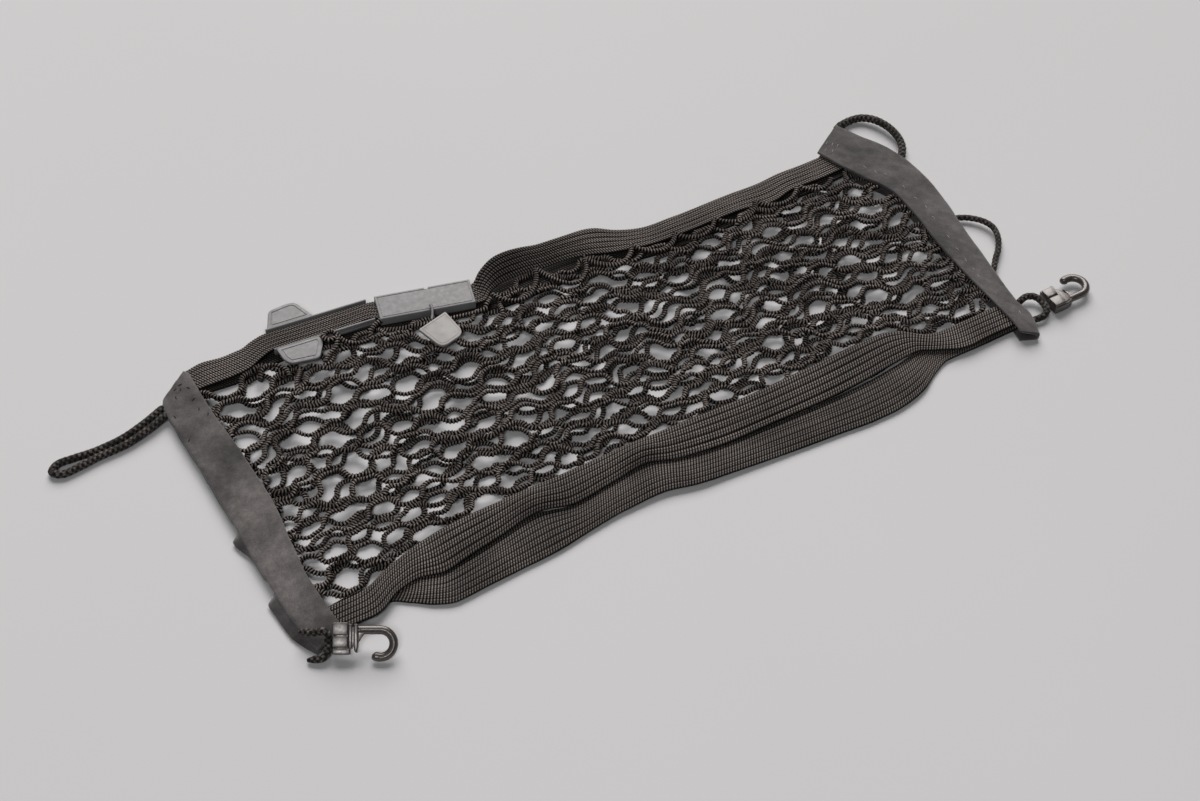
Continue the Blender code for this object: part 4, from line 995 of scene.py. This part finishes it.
def settled_yarns(layer, loft):
    """The yarns of one layer, settled as springs that tie, bend and push apart.

    The joints keep near their places of the lattice, and between them each yarn lies in
    curves. loft is how far yarns that cross may rise over each other.
    """
    points, order, chain, joint_at = [], [], [], {}
    total = 0
    for row in range(1, LEVELS + 1):
        places, joints = yarn_route(layer, row)
        route, nearest = resampled(places, BEAD)
        points.append(route)
        order.append(np.arange(len(route)))
        chain.append(np.full(len(route), row))
        for step, level, corner in joints:
            joint_at.setdefault((step, level), []).append(total + nearest[corner + 1])
        total += len(route)
    points, order, chain = np.vstack(points), np.concatenate(order), np.concatenate(chain)
    lifts = np.array([loft * scatter(i // 5, c, layer.salt + 33) for i, c in zip(order, chain)])
    points = np.column_stack([points, layer.rise(points[:, 0], points[:, 1]) + lifts])

    links = np.nonzero(chain[1:] == chain[:-1])[0]
    stiff = {reach: np.nonzero(chain[reach:] == chain[:-reach])[0]
             for reach, _, _ in STIFFNESS}
    new_yarn = chain[1:] != chain[:-1]
    fixed = np.append(True, new_yarn) | np.append(new_yarn, True)
    tied, anchored = [], []
    for (step, level), members in joint_at.items():
        anchored += members
        if len(members) == 2 and 0 < step < 2 * COLUMNS:
            tied.append(members)
        if level in (0, LEVELS):
            fixed[members] = True
    tie_first, tie_second = np.array(tied).T
    homes = points.copy()
    for turn in range(SETTLE_STEPS):
        if turn % RECOUNT == 0:
            pairs = touching(points, order, chain)
        for parity in (0, 1):
            chosen = links[links % 2 == parity]
            pull(points, chosen, chosen + 1, BEAD, 1.0)
        for reach, straight, firm in STIFFNESS:
            first = stiff[reach]
            pull(points, first, first + reach, straight * reach * BEAD, firm, only_apart=True)
        pull(points, tie_first, tie_second, 2 * PAIR_OFFSET, TIE_PULL)
        pull(points, pairs[:, 0], pairs[:, 1], TOUCH, TOUCH_PULL, only_apart=True)
        points[anchored] += HOME_PULL * (homes[anchored] - points[anchored])
        x, y = points[:, 0], points[:, 1]
        points[:, 1] = np.clip(y, layer.across(x, 0.0) + BAND_GAP,
                               layer.across(x, 1.0) - BAND_GAP)
        level = layer.rise(x, points[:, 1])
        points[:, 2] += LEVEL_PULL * (level - points[:, 2])
        points[:, 2] = np.clip(points[:, 2], np.maximum(level - loft, YARN_Z),
                               level + LOFT_ABOVE * loft)
        points[fixed] = homes[fixed]
    return [points[chain == row] for row in range(1, LEVELS + 1)]


def yarn_tube(places, row, salt):
    """One yarn with the beads of its braid, and its weave's coordinates."""
    route, distance = catmull(places, YARN_PITCH / 2)
    count = np.arange(len(route))
    roll = 0.5 * np.sin(distance / 11.0 + row * 1.9 + salt)
    plump = 1.0 + 0.06 * np.sin(distance / 17.0 + row * 0.8)
    scale = (1.0 - GROOVE * (0.5 - 0.5 * np.cos(math.pi * count))) * plump
    lean = SLANT * np.where(np.sin(distance / 43.0 + row) > 0, 1.0, -1.0)
    shift = lean[:, None] * np.cos(ring_angles(YARN_SIDES)) * YARN_WIDE / 2
    rings = swept(route, YARN_WIDE, YARN_THICK, YARN_SIDES, roll, scale[:, None], shift)
    rings[:, :, 2] = np.maximum(rings[:, :, 2], LAID_Z)
    return rings, (np.arange(YARN_SIDES + 1) / YARN_SIDES, count / 2)


def mesh_layer(name, node, layer, loft, loose=()):
    """A layer of mesh in two pieces, the half by the near band and the half by the far one."""
    yarns = settled_yarns(layer, loft)
    half = LEVELS // 2
    for side, chosen in (("near", yarns[:half]), ("far", yarns[half:] + list(loose))):
        tubes = [yarn_tube(places, row, layer.salt) for row, places in enumerate(chosen)]
        piece = tubes_piece(f"{name}_{side}", node, YARN_LOOK, tubes)


def hanging_yarn():
    """The loose outermost yarn, hanging from hold to hold under the far band."""
    route = []
    for (x0, y0, hang), (x1, y1, _) in zip(SCALLOPS, SCALLOPS[1:]):
        for share in (0.0, 0.1, 0.28, 0.5, 0.72, 0.9):
            drop = hang * math.sin(math.pi * share) ** 0.7
            route.append((x0 + (x1 - x0) * share, y0 + (y1 - y0) * share - drop,
                          SCALLOP_Z - 0.05 * drop))
    return route


# --- moulded parts

def signed_area(outline):
    """Twice the signed area of an outline: above nought where it runs anticlockwise."""
    return sum(x0 * y1 - x1 * y0
               for (x0, y0), (x1, y1) in zip(outline, [*outline[1:], outline[0]]))


def offset(outline, distance):
    """An anticlockwise outline drawn in by a distance, each corner mitred."""
    corners = np.array(outline, dtype=float)
    moved = []
    for index, corner in enumerate(corners):
        before = corner - corners[index - 1]
        after = corners[(index + 1) % len(corners)] - corner
        before /= np.linalg.norm(before)
        after /= np.linalg.norm(after)
        inward = np.array([-before[1], before[0]]) + np.array([-after[1], after[0]])
        moved.append(corner + inward * distance / (1.0 + before @ after))
    return moved


def rounded(outline, radii):
    """An outline with its corners rounded, each in a few points."""
    points = []
    for index, corner in enumerate(outline):
        before = outline[index - 1] - corner
        after = outline[(index + 1) % len(outline)] - corner
        reach = min(max(radii[index], 0.05), 0.45 * np.linalg.norm(before),
                    0.45 * np.linalg.norm(after))
        start = corner + before / np.linalg.norm(before) * reach
        end = corner + after / np.linalg.norm(after) * reach
        for share in np.linspace(0.0, 1.0, CORNER_STEPS):
            points.append(start * (1 - share) ** 2 + 2 * corner * share * (1 - share)
                          + end * share ** 2)
    return points


class Moulding:
    """A moulded piece put together from closed bodies in its own millimetres."""

    def __init__(self):
        self.shape = bmesh.new()

    def take(self, part):
        mesh = mesh_of(part, "part")
        self.shape.from_mesh(mesh)
        bpy.data.meshes.remove(mesh)

    def skin(self, rings):
        """A closed body through rings of places."""
        part = bmesh.new()
        verts = [[part.verts.new(place) for place in ring] for ring in rings]
        for first, second in zip(verts, verts[1:]):
            for index in range(len(first)):
                after = (index + 1) % len(first)
                part.faces.new((first[index], first[after], second[after], second[index]))
        part.faces.new(verts[0][::-1])
        part.faces.new(verts[-1])
        bmesh.ops.recalc_face_normals(part, faces=part.faces)
        self.take(part)

    def plate(self, outline, radius, low, high, edge, grooves=()):
        """A plate with rolled rims; a groove is its distance from the rim, width and depth."""
        radii = radius if isinstance(radius, list) else [radius] * len(outline)
        if signed_area(outline) < 0:
            outline, radii = outline[::-1], radii[::-1]
        arc = np.linspace(0.0, math.pi / 2, RIM_STEPS)
        profile = [(edge * (1 - math.sin(a)), low + edge * (1 - math.cos(a))) for a in arc]
        profile += [(edge * (1 - math.cos(a)), high - edge * (1 - math.sin(a))) for a in arc]
        for inset, width, depth in grooves:
            profile += [(inset, high), (inset + GROOVE_SLOPE, high - depth),
                        (inset + GROOVE_SLOPE + width, high - depth),
                        (inset + 2 * GROOVE_SLOPE + width, high)]
        self.skin([[(x, y, z) for x, y in rounded(offset(outline, inset),
                                                  [max(r - inset, 0.05) for r in radii])]
                   for inset, z in profile])

    def block(self, size, middle, edge, segments=3):
        """A block with its edges rounded; an edge of nought leaves them sharp."""
        part = bmesh.new()
        bmesh.ops.create_cube(part, size=1.0)
        bmesh.ops.scale(part, verts=part.verts, vec=size)
        if edge:
            bmesh.ops.bevel(part, geom=part.edges[:], offset=edge, segments=segments,
                            profile=0.5, affect="EDGES", clamp_overlap=True)
        bmesh.ops.translate(part, verts=part.verts, vec=middle)
        self.take(part)

    def rod(self, points, wide, thick, sides, step, round_ends=(True, True), swell=None):
        """A rod along a smooth route, with domed ends."""
        route, distance = catmull(points, step)
        reach = min(wide, thick) / 2
        scale = np.ones(len(route))
        for flag, away in zip(round_ends, (distance, distance[-1] - distance)):
            if flag:
                near = np.clip(away / reach, 0.0, 1.0)
                scale = np.minimum(scale, np.sqrt(np.maximum(near * (2 - near), 0.01)))
        if swell is not None:
            scale = scale * swell(distance / distance[-1])
        self.skin(swept(route, wide, thick, sides, scale=scale[:, None]))

    def finish(self, name, look, slot, place, *nodes):
        """The piece itself; place is the matrix from its own millimetres to the plan's."""
        bmesh.ops.transform(self.shape, matrix=TO_WORLD @ place, verts=self.shape.verts)
        # wide faces stay flat, so that they shine evenly between their rounded edges
        for face in self.shape.faces:
            longest = max(edge.calc_length() for edge in face.edges)
            face.smooth = face.calc_area() < max(FLAT_FACE, SLENDER * longest ** 2)
        mesh = mesh_of(self.shape, name)
        mesh.set_sharp_from_angle(angle=SHARP_EDGE)
        mesh.materials.append(look)
        piece = add_object(name, mesh)
        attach(piece, "root")
        if nodes:
            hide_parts(*nodes)
        return piece


def cut(piece, size, middle, turn, edge=0.0):
    """Take a block out of a piece; the block is in the piece's own turned millimetres."""
    tool = Moulding()
    tool.block(size, middle, edge)
    bmesh.ops.transform(tool.shape, matrix=TO_WORLD @ turn, verts=tool.shape.verts)
    cutter = add_object("tool", mesh_of(tool.shape, "tool"))
    modifier = piece.modifiers.new("cut", "BOOLEAN")
    modifier.operation = "DIFFERENCE"
    modifier.object = cutter
    graph = bpy.context.evaluated_depsgraph_get()
    result = bpy.data.meshes.new_from_object(piece.evaluated_get(graph))
    piece.modifiers.clear()
    piece.data = result
    bpy.data.objects.remove(cutter)
    result.shade_smooth()
    result.set_sharp_from_angle(angle=SHARP_EDGE)


def axes_matrix(x_axis, y_axis, place):
    x_axis = Vector(x_axis).normalized()
    y_axis = Vector(y_axis).normalized()
    turned = Matrix((x_axis, y_axis, x_axis.cross(y_axis))).transposed().to_4x4()
    return Matrix.Translation(Vector(place)) @ turned


def slider_block(part):
    """The right hook's body: a frame with an arched far side and two pads a slit apart."""
    part.plate(SLIDER_LINE, SLIDER_CORNERS, -1.9, 3.3, 0.7)
    inner = offset(SLIDER_LINE[::-1], 1.3)[::-1]
    part.plate(inner, [max(r - 1.0, 0.5) for r in SLIDER_CORNERS], -2.5, 0.0, 0.4)
    for row in SLIDER_BLOCKS:
        part.block(*row)


def slit_block(part):
    """The left hook's body: two pads and a foot round a core, then collar and flange."""
    for row in SLIT_BLOCKS:
        part.block(*row)
    part.plate(SLIT_FLANGE, 0.9, -3.4, 3.4, 0.7)


def hook(name, node, body, reach, place):
    """A moulded snap hook: body for the cord, gusset and round J."""
    part = Moulding()
    body(part)
    # gusset: the flange runs out into the shank in a hollow curve
    arc = [(GUSSET_START + GUSSET_LENGTH * t,
            SHANK_SIDE - 1.2 - GUSSET_DROP * (1.0 - t) ** 2.3) for t in np.linspace(0.0, 1.0, 7)]
    gusset = [(GUSSET_START, 6.6), *arc, (GUSSET_START + GUSSET_LENGTH, SHANK_SIDE + 1.6)]
    part.plate(gusset, 0.1, -1.7, 1.7, 0.5)
    centre = (reach, SHANK_SIDE - HOOK_RADIUS)
    route = [(9.0, SHANK_SIDE, 0.0), ((9.0 + reach) / 2, SHANK_SIDE, 0.0)]
    for angle in np.radians(90.0 - np.arange(0.0, HOOK_ARC + 1.0, HOOK_ARC_STEP)):
        route.append((centre[0] + HOOK_RADIUS * math.cos(angle),
                      centre[1] + HOOK_RADIUS * math.sin(angle), 0.0))
    # the tip is a little thicker
    part.rod(route, HOOK_WIRE, HOOK_WIRE - 0.3, 24, 0.6, (False, True),
             lambda share: 1.0 + TIP_SWELL * np.clip((share - TIP_SHARE) / 0.1, 0.0, 1.0))
    # a low ridge along the outside of the J, where the mould parts
    ridge = [(9.4, SHANK_SIDE + RIDGE_OUT, RIDGE_Z)]
    ridge += [(x + RIDGE_OUT * (x - centre[0]) / HOOK_RADIUS,
               y + RIDGE_OUT * (y - centre[1]) / HOOK_RADIUS, RIDGE_Z)
              for x, y, _ in route[1:-2]]
    part.rod(ridge, 1.5, 0.9, 8, 0.9)
    part.finish(name, HOOK_LOOK, "hook_plastic", place, node)


def on_clip(middle, turn):
    return Matrix.Translation((*middle, 0.0)) @ Matrix.Rotation(turn, 4, "Z")


def clip_channel():
    """The open trough under the webbing: floor, two rails with rolled tops and two wings."""
    part = Moulding()
    length, width = CHANNEL_SIZE
    low, top = CHANNEL_Z
    part.block((length, width, CLIP_WALL), (0.0, 0.0, low + CLIP_WALL / 2), 0.25)
    for side in (-1.0, 1.0):
        middle = side * (width - CLIP_WALL) / 2
        part.block((length, CLIP_WALL, top - low - 0.1), (0.0, middle, (low + top) / 2), 0.4)
        # a step along the foot of each rail
        part.block((length - 3.0, 0.8, 1.0), (0.0, side * (width / 2 + 0.1), low + 1.6), 0.25)
    part.plate(FAR_WING, [0.1, 3.0, 3.0, 3.5, 0.1], *WING_Z, 0.45, [(2.0, 0.45, 0.35)])
    part.plate(NEAR_WING, [0.1, 1.6, 3.2, 2.6, 3.0, 0.1], *WING_Z, 0.45, [(2.2, 0.5, 0.35)])
    # the mould's gate mark on the near wing
    part.block((1.5, 1.5, 0.5), (-14.0, -21.6, WING_Z[1]), 0.2)
    part.finish("clip_trough", CLIP_LOOK, "clip_plastic", on_clip(CHANNEL_MIDDLE, CHANNEL_TURN),
                "clip_channel")


def clip_sleeve():
    """The closed sleeve that the webbing runs through, lined near its rim and notched."""
    part = Moulding()
    length, width = SLEEVE_SIZE
    low, high = SLEEVE_Z
    outline = [(-length / 2, -width / 2), (length / 2, -width / 2), (length / 2, width / 2),
               (-length / 2, width / 2)]
    part.plate(outline, 0.5, low, high, 0.5, [(1.3, 0.35, 0.3)])
    turn = on_clip(SLEEVE_MIDDLE, SLEEVE_TURN)
    piece = part.finish("clip_sleeve_moulded", CLIP_LOOK, "clip_plastic", turn, "clip_sleeve")
    hollow = (length + 4.0, width - 2 * CLIP_WALL, high - low - 2 * CLIP_WALL)
    cut(piece, hollow, (0.0, 0.0, (low + high) / 2), turn)
    cut(piece, NOTCH_SIZE, (2.5, width / 2 - 0.6, high), turn, 0.3)


def clip_tab():
    part = Moulding()
    half = TAB_THICK / 2
    part.plate(TAB_OUTLINE, [0.9, 0.9] + 6 * [2.0], -half, half, 0.35, [(1.2, 0.35, 0.18)])
    turn = (Matrix.Translation(TAB_MIDDLE) @ Matrix.Rotation(TAB_TURN, 4, "Z")
            @ Matrix.Rotation(TAB_TILT, 4, "X"))
    part.finish("lock_tab", TAB_LOOK, "tab_plastic", turn, "clip_tab")


def clip_wire():
    part = Moulding()
    part.rod(WIRE_ROUTE, WIRE_DIAMETER, WIRE_DIAMETER, 14, 0.35)
    part.finish("lock_wire", CLIP_LOOK, "clip_plastic", Matrix(), "clip_wire")


def stitches(name, cloth, places, look, length, thick):
    """Short stitches that lie on a cloth piece, found from above."""
    part = Moulding()
    for x, y, turn in places:
        run = np.array([math.cos(math.radians(turn)), math.sin(math.radians(turn)), 0.0])
        route = []
        for share, proud in ((-0.5, -0.3), (-0.25, 0.1), (0.0, 0.2), (0.25, 0.1), (0.5, -0.3)):
            spot = np.array([x, y, 0.0]) + run * length * share
            start = Vector(world(spot + np.array([0.0, 0.0, 60.0])))
            found, place, _, _ = cloth.ray_cast(start, Vector((0.0, 0.0, -1.0)))
            if found:
                route.append((spot[0], spot[1], place.z / MM + proud * thick))
        if len(route) == 5:
            part.rod(route, thick, thick, 8, 0.25)
    part.finish(name, look, "binding", Matrix())


# --- camera and stage

def aim(thing, place, target=(0.0, 0.0, 0.0)):
    place = Vector(world(place))
    thing.location = place
    thing.rotation_euler = (Vector(world(target)) - place).to_track_quat("-Z", "Y").to_euler()


def make_camera():
    camera = bpy.data.cameras.new("camera")
    camera.lens = LENS
    camera.sensor_width = SENSOR
    camera.clip_end = 20.0
    holder = add_object("camera", camera)
    aim(holder, CAMERA_PLACE, CAMERA_TARGET)
    bpy.context.scene.camera = holder


def make_stage():
    shape = bmesh.new()
    bmesh.ops.create_grid(shape, x_segments=2, y_segments=2, size=FLOOR_SIZE)
    mesh = mesh_of(shape, "floor")
    mesh.materials.append(floor_material("floor_pale"))
    add_object("floor", mesh)
    for name, (place, size, power, colour) in LIGHTS.items():
        lamp = bpy.data.lights.new(name, "AREA")
        lamp.shape = "RECTANGLE"
        lamp.size, lamp.size_y = size
        lamp.energy = power
        lamp.color = colour
        aim(add_object(name, lamp), place)
    sky = bpy.data.worlds.new("sky")
    sky.use_nodes = True
    background = sky.node_tree.nodes["Background"]
    background.inputs["Color"].default_value = SKY_COLOUR
    background.inputs["Strength"].default_value = SKY_STRENGTH
    bpy.context.scene.world = sky
    bpy.context.scene.view_settings.view_transform = "Standard"


# --- build

def inner_edge(rows, shift):
    return [(row[0], row[1] + shift, row[2]) for row in rows]


# cords: piece, node, route and diameter
CORDS = [
    ("cord_left_loop", "loop_left", LOOP_LEFT, 4.8),
    ("cord_right_far_loop", "loop_right_far", LOOP_RIGHT_FAR, 5.2),
    ("cord_right_mid_loop", "loop_right_mid", LOOP_RIGHT_MID, 3.9),
    ("cord_left_hook", "hook_cord_left", HOOK_CORD_LEFT, CORD_DIAMETER),
    ("cord_right_hook", "hook_cord_right", HOOK_CORD_RIGHT, CORD_DIAMETER),
]
# webbing: place, rows, ribs, points to a rib, rings to a weft ridge, flat size in metres,
# creases and look
BANDS = [
    ("near_upper", NEAR_UPPER, 10, 4, 3, (0.0205, 0.455), NEAR_UPPER_CREASES, WEB_LOOK),
    ("near_lower", NEAR_LOWER, 14, 3, 3, (0.024, 0.455), NEAR_LOWER_CREASES, WEB_LOWER_SHADED_LOOK),
    ("far_upper", FAR_UPPER, 10, 4, 3, (0.0185, 0.445), FAR_UPPER_CREASES, WEB_LOOK),
    ("far_lower", FAR_LOWER, 10, 2, 2, (0.0185, 0.440), (), WEB_SHADED_UNDER_LOOK),
]
# bindings: side, rows, flat size in metres, salt, dents and look; then their stitches:
# rows, look, length and thickness
BINDINGS = [
    ("left", STRIP_LEFT, (0.05, 0.217), 1.0,
     [(24.0, 0.5, 7.0, 0.9), (62.0, 0.25, 5.0, 0.5), (134.0, 0.4, 9.0, 0.4)], SUEDE_LOOK,
     (LEFT_STITCHES, DARK_THREAD_LOOK, 2.4, 0.7)),
    ("right", STRIP_RIGHT, (0.048, 0.205), 2.4,
     [(18.0, 0.5, 6.0, 0.5), (70.0, 0.3, 6.0, 0.4)], SUEDE_SHADED_LOOK,
     (RIGHT_STITCHES, THREAD_LOOK, 3.0, 0.55)),
]

make_camera()
for salt, cord in enumerate(CORDS, 1):
    braided_cord(*cord, salt)

# the upper layer's far edge leaves the webbing where the clip holds it
far_edge = [row for row in inner_edge(FAR_UPPER, -YARN_DROP)
            if not CLIP_REACH[0] <= row[0] <= CLIP_REACH[1]]
upper = Layer(salt=1, near=inner_edge(NEAR_UPPER, YARN_DROP), far=sorted(far_edge + CLIP_EDGE),
              middle_z=5.9, waves=0.9, end_z=5.25, pressed=(CLIP_PRESS,))
mesh_layer("yarns_upper", "net_upper", upper, 0.9,
           EDGE_YARNS + [hanging_yarn()])
lower = Layer(salt=2, near=inner_edge(NEAR_LOWER, YARN_DROP),
              far=inner_edge(FAR_LOWER, -YARN_DROP), middle_z=1.5, waves=0.2, end_z=2.6)
mesh_layer("yarns_lower", "net_lower", lower, 0.35)

for place, *band in BANDS:
    webbing(f"webbing_{place}", f"band_{place}", *band)

cloths = [binding(f"binding_{side}", f"strip_{side}", *strip)
          for side, *strip, _ in BINDINGS]
bpy.context.view_layer.update()
for cloth, (side, *_, sewn) in zip(cloths, BINDINGS):
    stitches(f"stitches_{side}", cloth, *sewn)

axis_x, axis_y = LEFT_HOOK_AXIS
tilted = (-axis_y * math.cos(LEFT_TILT), axis_x * math.cos(LEFT_TILT), math.sin(LEFT_TILT))
hook("snap_hook_left", "hook_left", slit_block, LEFT_REACH,
     axes_matrix((axis_x, axis_y, 0.0), tilted, LEFT_HOOK_PLACE))
hook("snap_hook_right", "hook_right", slider_block, RIGHT_REACH,
     axes_matrix((1.0, 0.0, 0.0), (0.0, -1.0, 0.0), RIGHT_HOOK_PLACE))
clip_channel()
clip_sleeve()
clip_tab()
clip_wire()

make_stage()
